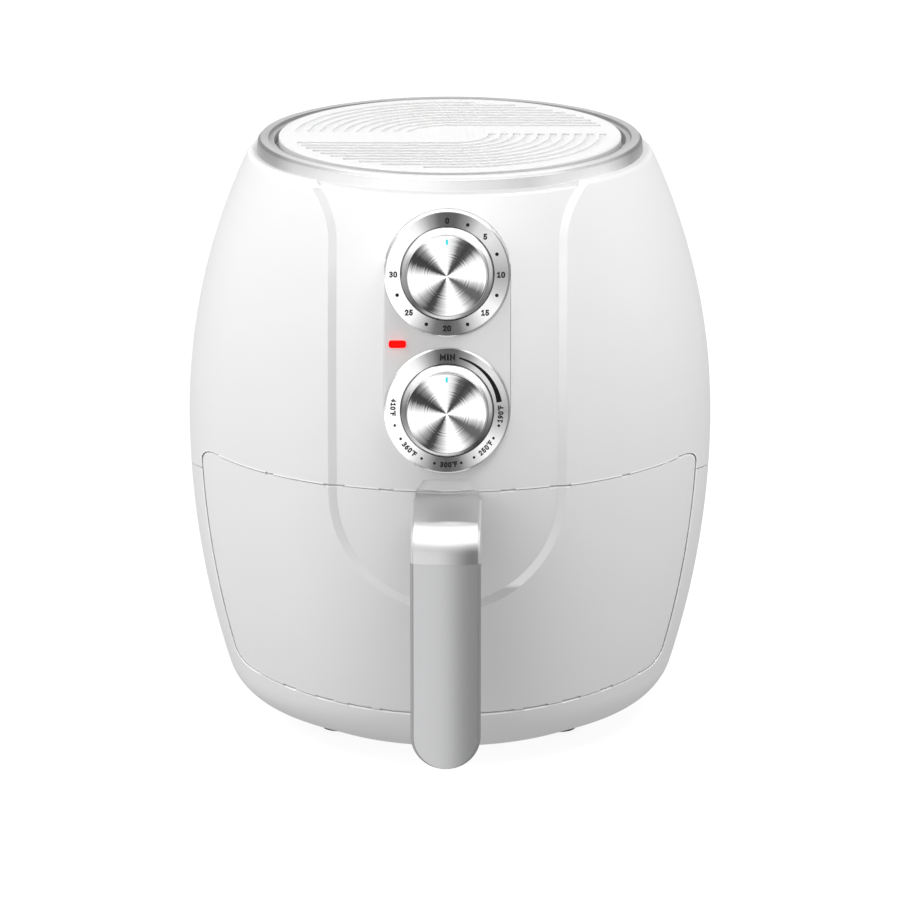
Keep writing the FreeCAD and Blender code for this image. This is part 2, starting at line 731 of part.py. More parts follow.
gr_pts = [(-45.6, 168.4), (45.6, 168.4), (45.6, 213.6), (-45.6, 213.6)]
gr = common(shell, prism_y("grille_block", gr_pts, 90.0, 150.0))
bars = [prism_y("grille_slot", [(-40.0, z), (40.0, z), (40.0, z + 3.6), (-40.0, z + 3.6)], 80.0, 160.0)
        for z in (173.0, 180.0, 187.0, 194.0, 201.0, 208.0 - 1.0)]
final(cut(gr, *bars), "exhaust_grille")

gl = fuse(cut(cyl(11.0, 12.5, 0, 116.0, 62.0, "y"), hull(-0.02)), cyl(8.0, 20.0, 0, 111.0, 62.0, "y"))
final(cut(gl, cyl(4.0, 40.0, 0, 100.0, 62.0, "y")), "cord_gland")

# top ring and ribbed lid
seat = D.brow_z + (1 - N_BROW[1]) * D.brow_round
final(turned("ring", [
    (D.ring_in, seat), (D.ring_rad, seat), (D.ring_rad - 0.5, D.ring_top - 1.6), (D.ring_rad - 1.9, D.ring_top),
    (93.1, D.ring_top), (92.5, D.ring_top - 1.5), (D.ring_in, D.ring_top - 1.5)]), "top_ring")

lid = turned("lid", [
    (0, D.lid_top - 2.8), (81.5, D.lid_top - 2.8), (81.5, seat - 2.2), (D.top_hole - 0.4, seat - 2.2),
    (D.top_hole - 0.4, D.lid_top - 2.8), (D.lid_rad - 2.0, D.lid_top - 2.8), (D.lid_rad - 2.0, seat), (D.lid_rad, seat),
    (D.lid_rad, D.lid_top - 0.7), (D.lid_rad - 0.7, D.lid_top), (0, D.lid_top)])
half = D.rib_wide / 2
for i in range(10):
    s = sketch(lid, "XY_Plane", D.lid_top)
    r = D.rib_first + D.rib_step * i
    a, b = r - half, r + half
    # back: quarter arc on the left, then straight to the right edge of the field
    end = math.sqrt(max(D.rib_field.v ** 2 - b.v ** 2, 1.0))
    e0 = 4.4
    xa = -Num(math.sqrt(a.v ** 2 - e0 ** 2), "sqrt(%s ^ 2 - %.3f)" % (a.e, e0 ** 2))
    xb = -Num(math.sqrt(b.v ** 2 - e0 ** 2), "sqrt(%s ^ 2 - %.3f)" % (b.e, e0 ** 2))
    loop(s, [(xa, e0, a, -1), (0, a), (end, a), (end, b), (0, b, b, 1), (xb, e0)])
    # front: straight from the left edge, then a quarter arc on the right
    loop(s, [(-end, -b), (0, -b, b, 1), (b, 0), (b, 2.0), (a, 2.0), (a, 0, a, -1), (0, -a), (-end, -a)])
    pocket(lid, s, D.rib_deep)
final(lid, "top_lid")

# ---------------------------------------------------------------- chamber

L = D.liner_rad
T = D.sheet_metal


def bay(r, front):
    return [(-r, front), (r, front), (r, 0, r, 1), (0, r, r, 1), (-r, 0)]


ln = new_body("liner")
s = sketch(ln, "XY_Plane", D.liner_low)
loop(s, bay(L, -D.liner_front))
pad(ln, s, T)
s = sketch(ln, "XY_Plane", D.liner_low)
loop(s, [(-L, -D.liner_front), (-(L - T), -D.liner_front), (-(L - T), 0, L - T, -1), (0, L - T, L - T, -1), (L - T, 0),
         (L - T, -D.liner_front), (L, -D.liner_front), (L, 0, L, 1), (0, L, L, 1), (-L, 0)])
pad(ln, s, D.liner_high + T - D.liner_low)
s = sketch(ln, "XY_Plane", D.liner_high)
ring(s, 0, 0, L)
ring(s, 0, 0, D.mouth_rad)
pad(ln, s, T)
final(ln, "chamber_liner")
rail_top = D.pan_low - 0.4
final(group(box(-54.0, -46.0, -38.0, 78.0, D.liner_low + T, rail_top), box(46.0, 54.0, -38.0, 78.0, D.liner_low + T, rail_top)),
      "guide_rails")

dz = D.liner_high + T
R = D.dome_rad
dome = turned("dome", [
    (R - 1.0, dz), (R + 9.0, dz), (R + 9.0, dz + 1.0), (R, dz + 1.0), (R, D.dome_top + 1.0), (8.0, D.dome_top + 1.0),
    (8.0, D.dome_top), (R - 1.0, D.dome_top)])
LEADS = [(r * math.cos(math.radians(8.0)), r * math.sin(math.radians(8.0))) for r in (D.coil_out.v, D.coil_in.v)]
dome_cut = cut(dome, box(-30.0, 30.0, 80.0, 100.0, 180.0, 204.0), *[cyl(4.4, 10.0, x, y, 203.0) for x, y in LEADS])
final(dome_cut, "heat_shield")

duct = cut(box(-32.0, 32.0, 80.0, 125.4, 176.0, 206.0), box(-31.0, 31.0, 70.0, 130.0, 177.0, 205.0),
           cyl(R + 0.05, 60.0, 0, 0, 160.0))
final(duct, "exhaust_duct")

# tubular heater: outer turn, hairpin, inner turn, two leads up through the dome
ro, rn, tube, zc = D.coil_out.v, D.coil_in.v, D.coil_tube.v, D.coil_z.v


def pol(r, deg):
    return Vector(r * math.cos(math.radians(deg)), r * math.sin(math.radians(deg)), zc)


tipv = pol((ro + rn) / 2, -8.0) + Vector(-math.sin(math.radians(-8.0)), math.cos(math.radians(-8.0)), 0) * ((ro - rn) / 2)
coil_path = Part.Wire([
    Part.Arc(pol(ro, 8.0), pol(ro, 90.0), pol(ro, 172.0)).toShape(),
    Part.Arc(pol(ro, 172.0), pol(ro, 260.0), pol(ro, 352.0)).toShape(),
    Part.Arc(pol(ro, 352.0), tipv, pol(rn, 352.0)).toShape(),
    Part.Arc(pol(rn, 352.0), pol(rn, 260.0), pol(rn, 172.0)).toShape(),
    Part.Arc(pol(rn, 172.0), pol(rn, 90.0), pol(rn, 8.0)).toShape()])
tangent = Vector(-math.sin(math.radians(8.0)), math.cos(math.radians(8.0)), 0)
coil_solid = coil_path.makePipeShell([Part.Wire(Part.Circle(pol(ro, 8.0), tangent, tube).toShape())], True, True)
for r in (ro, rn):
    p = pol(r, 8.0)
    coil_solid = coil_solid.fuse([Part.makeSphere(tube, p), Part.makeCylinder(tube, 50.0, p)])
heater = doc.addObject("Part::Feature", "heater")
heater.Shape = coil_solid.removeSplitter()
final(heater, "heating_element")

clips = []
for ang in (90.0, 180.0, 270.0):
    c = fuse(box(56.0, 90.0, -4.0, 4.0, D.coil_z + D.coil_tube + 0.15, D.coil_z + D.coil_tube + 1.65),
             box(84.0, 90.0, -4.0, 4.0, D.coil_z + D.coil_tube + 0.15, D.dome_top))
    c.Placement = Placement(Vector(0, 0, 0), Rotation(Vector(0, 0, 1), ang))
    clips.append(c)
final(group(*clips), "element_clips")

gt = doc.addObject("Part::Torus", "guard_ring")
gt.Radius1, gt.Radius2 = 90.2, 1.5
at(gt, 0, 0, 162.0)
wires = []
for y in (-60.0, -36.0, -12.0, 12.0, 36.0, 60.0):
    h = math.sqrt(90.2 ** 2 - y * y)
    wires.append(cyl(1.1, 2 * h, -h, y, 162.0, "x"))
final(fuse(gt, *wires), "heater_guard")
final(cyl(3.0, 14.0, -65.0, 30.0, D.dome_top + 4.1, "x"), "thermal_fuse")

# motor and fans on the vertical axis
mb = new_body("motor_bracket")
s = sketch(mb, "XY_Plane", 222.0)
slot(s, -46.0, 46.0, -26.0, 26.0)
ring(s, 0, 0, 7.0)
pad(mb, s, 2.0)
for x, y in ((-40.0, -20.0), (40.0, -20.0), (-40.0, 20.0), (40.0, 20.0)):
    s = sketch(mb, "XY_Plane", D.dome_top + 1.0)
    ring(s, x, y, 3.5)
    pad(mb, s, 221.0 + 1.5 - D.dome_top)
final(mb, "motor_bracket")
mc = new_body("motor_core")
s = sketch(mc, "XY_Plane", 226.0)
slot(s, -25.0, 25.0, -25.0, 57.0)
ring(s, 0, 0, 20.6)
slot(s, -13.0, 13.0, 27.5, 44.0)
pad(mc, s, 24.0)
final(mc, "motor_core")
coil = cut(box(-11.0, 11.0, 38.5, 61.5, 219.0, 257.0), box(-12.0, 12.0, 43.8, 57.2, 225.8, 250.2))
final(coil, "motor_coil")
ms = new_body("motor_strap")
s = sketch(ms, "XY_Plane", 254.0)
slot(s, -31.0, 31.0, -9.0, 9.0)
ring(s, 0, 0, 7.0)
pad(ms, s, 2.0)
for x in (-28.0, 28.0):
    s = sketch(ms, "XY_Plane", 224.0)
    ring(s, x, 0, 2.6)
    pad(ms, s, 31.0)
final(ms, "motor_strap")
final(group(*[cut(cyl(6.98, 6.0, 0, 0, z), cyl(D.shaft_rad + 0.05, 10.0, 0, 0, z - 2.0)) for z in (219.5, 251.5)]),
      "bearing_bushes")
final(turned("shaft", [(0, 176.5), (D.shaft_rad, 176.5), (D.shaft_rad, 286.0), (0, 286.0)]), "motor_shaft")
final(turned("rotor", [(D.shaft_rad + 0.02, 226.5), (20.0, 226.5), (20.0, 249.5), (D.shaft_rad + 0.02, 249.5)]), "motor_rotor")
final(fan_wheel("hot_fan", D.fan_rad, 9.0, 198.0, 199.2, 184.0, 198.2, 12, 18.0), "hot_air_fan")
final(fan_wheel("cool_fan", D.cool_rad, 8.0, 266.0, 267.4, 267.2, 280.0, 9, 14.0), "cooling_fan")
nut = new_body("nut")
s = sketch(nut, "XY_Plane", 178.0)
loop(s, [(7.0 * math.cos(math.radians(a)), 7.0 * math.sin(math.radians(a))) for a in range(15, 375, 60)])
ring(s, 0, 0, D.shaft_rad + 0.02)
pad(nut, s, 5.8)
final(nut, "fan_nut")

# interlock: striker on the drawer meets the plunger of a switch beside the liner
sw = cut(box(L, 117.0, -40.0, -16.0, 112.0, 128.0), cyl(2.05, 12.0, 110.5, -42.0, 120.0, "y"))
final(sw, "interlock_switch")
plunger = fuse(cone(1.2, 2.0, 1.0, 110.5, -44.0, 120.0, "y"), cyl(2.0, 10.0, 110.5, -43.0, 120.0, "y"))
final(plunger, "switch_plunger")
tb = cut(box(-18.0, 18.0, 105.6, 117.6, 75.0, 91.0), *[cyl(2.2, 6.0, x, 113.0, 83.0, "y") for x in (-11.0, 0.0, 11.0)])
final(tb, "terminal_block")

# ---------------------------------------------------------------- drawer

HOLES = [(-9.0, 140.0), (9.0, 140.0)]
front = carve(common(shell, front_block), recess_floor, bevel, rim_break, *[cyl(2.1, 30.0, x, -145.0, z, "y") for x, z in HOLES])
final(front, "drawer_front")
STUD = [(-55.0, 64.0), (55.0, 64.0), (-55.0, 132.0), (55.0, 132.0)]
inner = fuse(box(-72.0, 72.0, -104.0, -101.5, 42.0, 148.0), *[cyl(4.5, 40.0, x, -143.0, z, "y") for x, z in STUD])
FIX = [(-20.0, 92.0), (20.0, 92.0), (-20.0, 120.0), (20.0, 120.0)]
inner = cut(common(inner, hull_seat), *([cyl(1.6, 7.0, x, -107.5, z, "y") for x, z in STUD] + [cyl(1.6, 7.0, x, -107.5, z, "y") for x, z in FIX]
                                        + [cyl(1.6, 7.0, x, -103.0, z, "y") for x, z in STUD]))
final(inner, "drawer_inner_panel")
final(group(*[fuse(cyl(3.2, 1.8, x, -101.45, z, "y"), cyl(1.5, 5.0, x, -106.0, z, "y")) for x, z in STUD]), "drawer_screws")
final(group(*[fuse(cyl(3.6, 1.8, x, -127.4, z, "y"), cyl(2.0, 22.0, x, -149.0, z, "y")) for x, z in HOLES]), "handle_screws")

pan_out = [(0, D.pan_low), (77.0, D.pan_low, 9.0, 1), (85.6, D.pan_low + 7.4), (D.pan_rad, D.pan_high - 1.7),
           (D.pan_rim, D.pan_high - 1.7), (D.pan_rim, D.pan_high)]
pan = turned("pan", pan_out + [(D.pan_rad - 1.5, D.pan_high), (84.0, D.pan_low + 7.8, 7.5, -1), (77.0, D.pan_low + 1.5), (0, D.pan_low + 1.5)])
final(pan, "fry_basket")
pan_block = turned("pan_block", [(0, D.pan_low), (77.0, D.pan_low), (85.65, D.pan_low + 7.4), (D.pan_rad + 0.05, D.pan_high - 1.7), (0, D.pan_high - 1.7)])
saddle = cut(box(-34.0, 34.0, -101.45, -84.0, 80.0, 132.0), pan_block, *[cyl(1.55, 9.0, x, -102.0, z, "y") for x, z in FIX])
final(saddle, "basket_bracket")
final(group(*[fuse(cyl(3.2, 1.8, x, -105.85, z, "y"), cyl(1.5, 6.5, x, -104.2, z, "y")) for x, z in FIX]), "bracket_screws")
striker = common(box(108.0, 113.0, -140.0, -44.4, 116.0, 124.0), hull_seat)
final(striker, "interlock_striker")

# hooked handle: plastic core with crowned metal plates on its top and front
gf, gt_, gb = D.grip_front, D.grip_top, D.grip_bend
deep = D.plate_edge + D.plate_crown
core_side = prism_x("grip_core", [
    (-126.0, gt_ - deep), (-(gf - gb), gt_ - deep, gb - deep, 1), (-(gf - deep), gt_ - gb), (-(gf - deep), D.grip_low),
    (-(gf - 14.75), D.grip_low), (-(gf - 14.75), 126.0, 7.0, -1), (-(gf - 21.75), 133.0), (-126.0, 133.0)], D.grip_wide)


def grip_face(half, low):
    return [(-half, low + half, half, 1), (0, low, half, 1), (half, low + half), (half, 160.0), (-half, 160.0)]


core_front = prism_y("grip_front_view", grip_face(D.grip_wide / 2, D.grip_low), -200.0, -120.0)
core = cut(common(core_side, core_front), hull_floor, *[cyl(2.05, 18.0, x, -149.0, z, "y") for x, z in HOLES])
doc.recompute()
edges = []
for i, e in enumerate(core.Shape.Edges, 1):
    bb = e.BoundBox
    side = min(abs(bb.XMin - D.grip_wide.v / 2), abs(bb.XMax + D.grip_wide.v / 2))
    flat = bb.XLength < 1e-4 and side < 1e-3
    bottom = bb.ZMax < D.grip_low.v + D.grip_wide.v / 2 + 0.1 and bb.XLength > 5.0
    if (flat and bb.YMax < -136.0) or bottom:
        edges.append(i)
soft = doc.addObject("Part::Fillet", "grip_soft")
soft.Base = core
soft.Edges = [(i, 1.2, 1.2) for i in edges]
final(soft, "handle_body")

w = D.plate_wide / 2
sagr = Num((w.v ** 2 + D.plate_crown.v ** 2) / (2 * D.plate_crown.v),
           "((%s ^ 2 + Dims.plate_crown ^ 2) / (2 * Dims.plate_crown))" % w.e)
# crowned section, laid along the vertical front run
fp = new_body("front_plate")
s = sketch(fp, "XY_Plane", D.grip_low)
loop(s, [(-w, -(gf - deep)), (-w, -(gf - D.plate_crown), sagr, 1), (w, -(gf - D.plate_crown)), (w, -(gf - deep))])
pad(fp, s, D.plate_split - 0.02 - D.grip_low)
plate_front = common(fp, prism_y("plate_view", grip_face(w, D.grip_low + 1.5), -200.0, -120.0))
final(plate_front, "handle_front_plate")

# flat on top; the crown grows round the bend until it meets the front plate's


def plate_section(turn, crown):
    """Closed outline across the plate at an angle (radians) round the bend, from the top."""
    out = Vector(0, -math.sin(turn), math.cos(turn))
    mid = Vector(0, -(gf - gb).v, (gt_ - gb).v)
    low, side, top = mid + out * (gb - deep).v, mid + out * (gb.v - crown), mid + out * gb.v
    across = Vector(w.v, 0, 0)
    return Part.Wire([Part.LineSegment(low - across, low + across).toShape(), Part.LineSegment(low + across, side + across).toShape(),
                      Part.Arc(side + across, top, side - across).toShape(), Part.LineSegment(side - across, low - across).toShape()])


CROWN_MIN = 0.03
bend = []
for i in range(11):
    t = i / 10.0
    bend.append(plate_section(t * math.pi / 2, CROWN_MIN + (D.plate_crown.v - CROWN_MIN) * t * t * (3 - 2 * t)))
shelf = Part.Face(bend[0]).extrude(Vector(0, (gf - gb).v - 126.0, 0))
apron = Part.Face(bend[-1]).extrude(Vector(0, 0, D.plate_split.v + 0.02 - (gt_ - gb).v))
tp = doc.addObject("Part::Feature", "top_plate")
tp.Shape = Part.makeLoft(bend, True, False).fuse([shelf, apron])
final(cut(tp, hull_floor), "handle_top_plate")

# ---------------------------------------------------------------- crisper tray

ct = new_body("tray")
s = sketch(ct, "XY_Plane", D.tray_z)
ring(s, 0, 0, D.tray_rad)
ring(s, 0, 0, 11.0)
pad(ct, s, 1.5)
s = sketch(ct, "XY_Plane", D.tray_z)
ring(s, 0, 0, D.tray_rad)
ring(s, 0, 0, D.tray_rad - 1.5)
pad(ct, s, 5.0)
last = None
for r, n in ((24.0, 8), (37.0, 13), (50.0, 18), (63.0, 22)):
    s = sketch(ct, "XY_Plane", D.tray_z + 1.5)
    ring(s, r, 0, 3.8)
    f = pocket(ct, s, 4.0)
    doc.recompute()
    p = ct.newObject("PartDesign::PolarPattern", fresh("around"))
    p.Originals = [f]
    p.Axis = (s, ["N_Axis"])
    p.Angle = 360
    p.Occurrences = n
    ct.Tip = p
    doc.recompute()
final(ct, "crisper_tray")
final(group(*[cone(2.8, 3.6, 9.1, 72.5 * math.cos(math.radians(a)), 72.5 * math.sin(math.radians(a)), D.tray_z - 9.1)
              for a in (45.0, 135.0, 225.0, 315.0)]), "tray_feet")

doc.recompute()

# ---------------------------------------------------------------- placing

axis = Placement(Vector(0, D.axis_y.v, 0), Rotation())
lean = Rotation(Vector(1, 0, 0), TILT)


def on_pad(x, y):
    here = Placement(Vector(0, -D.pad_y.v, D.pad_z.v), lean)
    return axis.multiply(here).multiply(Placement(Vector(x, y, 0), Rotation()))


def upright(x, y):
    """A turned piece is drawn about Z, which is the dial's axis on the pad."""
    return on_pad(x, y)


frames = {"axis": axis, "panel": on_pad(0, 0), "dial+1": upright(0, D.dial_off.v), "dial-1": upright(0, -D.dial_off.v),
          "lamp": upright(-24.6, -1.1)}
for obj, label, frame in finals:
    if obj.TypeId in ("Part::Cylinder", "Part::Cone", "Part::Box") and frame == "axis":
        obj.Placement = axis.multiply(obj.Placement)
    else:
        obj.Placement = frames[frame].multiply(obj.Placement)
        if frame == "axis" and abs(obj.Placement.Base.y - D.axis_y.v) < 1e-9:
            bind(obj, "Placement.Base.y", D.axis_y)
doc.recompute()

bad = []
for o in doc.Objects:
    if "Invalid" in o.State or "Error" in o.State:
        bad.append("%s %s %s" % (o.Name, o.Label, o.State))
for obj, label, frame in finals:
    sh = obj.Shape
    if sh.isNull() or not sh.isValid() or not sh.Solids:
        bad.append("%s has no valid solid" % label)
if bad:
    for b in bad:
        print("BAD", b)
    raise SystemExit(1)
names = [label for obj, label, frame in finals]
assert len(names) == len(set(names)) and len(names) <= 60
os.makedirs("parts", exist_ok=True)
for old in os.listdir("parts"):
    if old.endswith(".step") and old[:-5] not in names:
        os.remove(os.path.join("parts", old))
for obj, label, frame in finals:
    sh = obj.Shape
    bb = sh.BoundBox
    print("%-22s %2d solids  vol %10.1f  x %.1f..%.1f y %.1f..%.1f z %.1f..%.1f" % (
        label, len(sh.Solids), sh.Volume, bb.XMin, bb.XMax, bb.YMin, bb.YMax, bb.ZMin, bb.ZMax))
    sh.exportStep("parts/%s.step" % label)
print(len(names), "parts")
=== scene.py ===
import bpy
import bmesh
import json
import math
from mathutils import Matrix, Vector


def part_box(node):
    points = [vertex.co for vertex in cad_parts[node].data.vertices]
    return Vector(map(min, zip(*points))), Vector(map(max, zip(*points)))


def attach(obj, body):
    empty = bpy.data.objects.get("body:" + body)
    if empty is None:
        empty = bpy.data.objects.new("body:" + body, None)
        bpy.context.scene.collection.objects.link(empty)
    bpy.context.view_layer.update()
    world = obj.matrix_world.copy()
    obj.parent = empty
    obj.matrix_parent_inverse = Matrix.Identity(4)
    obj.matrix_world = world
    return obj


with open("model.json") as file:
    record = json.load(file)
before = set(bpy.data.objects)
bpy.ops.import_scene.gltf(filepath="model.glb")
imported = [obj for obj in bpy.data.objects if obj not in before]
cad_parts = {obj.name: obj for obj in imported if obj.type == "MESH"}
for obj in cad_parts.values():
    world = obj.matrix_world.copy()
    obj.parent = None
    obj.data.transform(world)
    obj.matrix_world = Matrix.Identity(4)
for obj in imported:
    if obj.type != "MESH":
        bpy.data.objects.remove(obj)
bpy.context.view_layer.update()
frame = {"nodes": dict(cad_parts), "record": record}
scene = bpy.context.scene
nodes_cad = frame["nodes"]

AXIS_Y = 0.0295
TILT = math.radians(8.7)
PAD = Matrix(((1, 0, 0, 0.0),
              (0, math.sin(TILT), -math.cos(TILT), AXIS_Y - 0.1262),
              (0, math.cos(TILT), math.sin(TILT), 0.2281),
              (0, 0, 0, 1)))
DIAL = {"timer": PAD @ Matrix.Translation((0, 0.0339, 0)), "temperature": PAD @ Matrix.Translation((0, -0.0339, 0))}

# ------------------------------------------------------------------ materials


class Mat:
    """A node material under construction: one principled shader and small helpers."""

    def __init__(self, name, color, rough, metal=0.0):
        self.m = bpy.data.materials.new(name)
        self.m.use_nodes = True
        self.t = self.m.node_tree
        self.b = next(n for n in self.t.nodes if n.type == "BSDF_PRINCIPLED")
        self.b.inputs["Base Color"].default_value = (*color, 1)
        self.b.inputs["Roughness"].default_value = rough
        self.b.inputs["Metallic"].default_value = metal
        self.color = color
        self.rough = rough
        self.m.diffuse_color = (*color, 1)
        self._tc = None
        self.edge = None

    def set(self, **kw):
        for k, v in kw.items():
            self.b.inputs[k.replace("_", " ")].default_value = v
        return self

    def new(self, kind, **kw):
        n = self.t.nodes.new(kind)
        for k, v in kw.items():
            setattr(n, k, v)
        return n

    def link(self, a, b):
        self.t.links.new(a, b)

    def coords(self):
        if self._tc is None:
            self._tc = self.new("ShaderNodeTexCoord")
        return self._tc.outputs["Object"]

    def noise(self, scale, detail=3.0, stretch=None, rough=0.55):
        n = self.new("ShaderNodeTexNoise")
        n.inputs["Scale"].default_value = scale
        n.inputs["Detail"].default_value = detail
        n.inputs["Roughness"].default_value = rough
        src = self.coords()
        if stretch:
            mp = self.new("ShaderNodeMapping")
            mp.inputs["Scale"].default_value = stretch
            self.link(src, mp.inputs["Vector"])
            src = mp.outputs["Vector"]
        self.link(src, n.inputs["Vector"])
        return n.outputs["Fac"]

    def ramp(self, fac, stops):
        r = self.new("ShaderNodeValToRGB")
        e = r.color_ramp.elements
        while len(e) > 1:
            e.remove(e[-1])
        for i, (p, c) in enumerate(stops):
            if i == 0:
                e[0].position, el = p, e[0]
            else:
                el = e.new(p)
            c = c if hasattr(c, "__len__") else (c, c, c)
            el.color = (*c, 1)
        self.link(fac, r.inputs["Fac"])
        return r.outputs["Color"]

    def span(self, fac, lo, hi, a=0.3, b=0.7):
        m = self.new("ShaderNodeMapRange")
        m.inputs["From Min"].default_value = a
        m.inputs["From Max"].default_value = b
        m.inputs["To Min"].default_value = lo
        m.inputs["To Max"].default_value = hi
        self.link(fac, m.inputs["Value"])
        return m.outputs["Result"]

    def mottle(self, scale, spread, detail=3.0, stretch=None):
        """Base colour that wanders a little around its own value."""
        f = self.noise(scale, detail, stretch)
        lo = tuple(max(c * (1 - spread), 0) for c in self.color)
        hi = tuple(min(c * (1 + spread), 1) for c in self.color)
        self.link(self.ramp(f, [(0.3, lo), (0.7, hi)]), self.b.inputs["Base Color"])
        return self

    def vary_rough(self, scale, spread, detail=3.0, stretch=None):
        f = self.noise(scale, detail, stretch)
        self.link(self.span(f, self.rough - spread, self.rough + spread), self.b.inputs["Roughness"])
        return self

    def soften(self, radius):
        """Moulded edges with a small radius."""
        n = self.new("ShaderNodeBevel", samples=6)
        n.inputs["Radius"].default_value = radius
        self.edge = n.outputs["Normal"]
        self.link(self.edge, self.b.inputs["Normal"])
        return self

    def bump(self, scale, height, detail=2.0, stretch=None, strength=1.0):
        f = self.noise(scale, detail, stretch)
        n = self.new("ShaderNodeBump")
        if self.edge is not None:
            self.link(self.edge, n.inputs["Normal"])
        n.inputs["Strength"].default_value = strength
        n.inputs["Distance"].default_value = height
        self.link(f, n.inputs["Height"])
        self.link(n.outputs["Normal"], self.b.inputs["Normal"])
        return self


def vec_math(mt, op, a, b):
    n = mt.new("ShaderNodeVectorMath", operation=op)
    for i, v in enumerate((a, b)):
        if v is None:
            continue
        if isinstance(v, (tuple, list, Vector)):
            n.inputs[i].default_value = v
        else:
            mt.link(v, n.inputs[i])
    return n.outputs["Value"] if op in ("DOT_PRODUCT", "LENGTH") else n.outputs["Vector"]


def math_node(mt, op, a, b=None, clamp=False):
    n = mt.new("ShaderNodeMath", operation=op, use_clamp=clamp)
    for i, v in enumerate((a, b)):
        if v is None:
            continue
        if isinstance(v, (int, float)):
            n.inputs[i].default_value = v
        else:
            mt.link(v, n.inputs[i])
    return n.outputs[0]


def dial_coords(mt, m):
    """Angle (0 to 1, clockwise from the top) and radius (m) about a dial's axis."""
    c = m.translation
    d = vec_math(mt, "SUBTRACT", mt.coords(), tuple(c))
    x = vec_math(mt, "DOT_PRODUCT", d, tuple(m.col[0][:3]))
    y = vec_math(mt, "DOT_PRODUCT", d, tuple(m.col[1][:3]))
    ang = math_node(mt, "ARCTAN2", x, y)
    turn = math_node(mt, "MULTIPLY", ang, 1 / (2 * math.pi))
    frac = math_node(mt, "FRACT", math_node(mt, "ADD", turn, 1.0))
    rad = math_node(mt, "SQRT", math_node(mt, "ADD", math_node(mt, "MULTIPLY", x, x), math_node(mt, "MULTIPLY", y, y)))
    return d, frac, rad


def ring_tangent(mt, d, axis):
    """Direction of turning marks round an axis, for stretched highlights."""
    tan = vec_math(mt, "CROSS_PRODUCT", axis, d)
    tr = mt.new("ShaderNodeVectorTransform", vector_type="VECTOR", convert_from="OBJECT", convert_to="WORLD")
    mt.link(tan, tr.inputs[0])
    nm = vec_math(mt, "NORMALIZE", tr.outputs[0], None)
    mt.link(nm, mt.b.inputs["Tangent"])


MATS = {}
MATS["white_plastic"] = Mat("white_plastic", (0.83, 0.83, 0.832), 0.34).mottle(9, 0.006).vary_rough(40, 0.03).bump(900, 0.000002).set(
    IOR=1.47).m
MATS["inner_plastic"] = Mat("inner_plastic", (0.035, 0.035, 0.038), 0.5).mottle(60, 0.2).vary_rough(80, 0.08).bump(1500, 0.00004).m
MATS["rubber"] = Mat("rubber", (0.022, 0.022, 0.024), 0.75).mottle(120, 0.25).vary_rough(200, 0.08).bump(1200, 0.00006).m
MATS["red_lens"] = Mat("red_lens", (0.75, 0.01, 0.008), 0.2).mottle(300, 0.05).m
MATS["lamp_glass"] = Mat("lamp_glass", (0.9, 0.45, 0.3), 0.08).mottle(200, 0.1).set(Transmission_Weight=0.6, IOR=1.5).m
MATS["sheet_steel"] = Mat("sheet_steel", (0.56, 0.57, 0.58), 0.38, 1.0).mottle(45, 0.12, 6).vary_rough(90, 0.1).m
MATS["steel"] = Mat("steel", (0.60, 0.60, 0.62), 0.28, 1.0).mottle(120, 0.08).vary_rough(150, 0.08).m
MATS["bushing_bronze"] = Mat("bushing_bronze", (0.55, 0.36, 0.17), 0.4, 1.0).mottle(300, 0.12).vary_rough(300, 0.08).m
MATS["heater_tube"] = Mat("heater_tube", (0.20, 0.185, 0.175), 0.48, 0.8).mottle(60, 0.3, 5).vary_rough(120, 0.1).bump(900, 0.00004).m
MATS["core_iron"] = Mat("core_iron", (0.20, 0.20, 0.215), 0.5, 0.8).mottle(20, 0.2, 2, (1, 1, 120)).vary_rough(90, 0.1).m
MATS["copper"] = Mat("copper", (0.58, 0.24, 0.10), 0.32, 0.9).mottle(30, 0.25, 2, (1, 1, 90)).vary_rough(60, 0.08).m
MATS["fan_metal"] = Mat("fan_metal", (0.68, 0.69, 0.70), 0.34, 1.0).mottle(70, 0.08, 5).vary_rough(120, 0.08).m
MATS["ceramic_white"] = Mat("ceramic_white", (0.76, 0.74, 0.69), 0.55).mottle(80, 0.06).vary_rough(150, 0.06).bump(1400, 0.00003).m
MATS["non_stick"] = Mat("non_stick", (0.028, 0.028, 0.031), 0.42).mottle(700, 0.5, 2).vary_rough(300, 0.08).bump(1600, 0.00005).m
MATS["ink"] = Mat("ink", (0.008, 0.008, 0.009), 0.5).mottle(500, 0.3).set(Specular_IOR_Level=0.12).m
MATS["index_blue"] = Mat("index_blue", (0.003, 0.80, 0.90), 0.4).mottle(500, 0.06).m


def around_axis(mt):
    """Height, radius and turn (0 to 1, from the front, to the right) about the barrel's axis."""
    sep = mt.new("ShaderNodeSeparateXYZ")
    mt.link(mt.coords(), sep.inputs[0])
    x = sep.outputs["X"]
    y = math_node(mt, "SUBTRACT", sep.outputs["Y"], AXIS_Y)
    rad = math_node(mt, "SQRT", math_node(mt, "ADD", math_node(mt, "MULTIPLY", x, x), math_node(mt, "MULTIPLY", y, y)))
    ang = math_node(mt, "ARCTAN2", x, math_node(mt, "MULTIPLY", y, -1.0))
    turn = math_node(mt, "FRACT", math_node(mt, "ADD", math_node(mt, "MULTIPLY", ang, 1 / (2 * math.pi)), 1.0))
    return sep.outputs["Z"], rad, turn


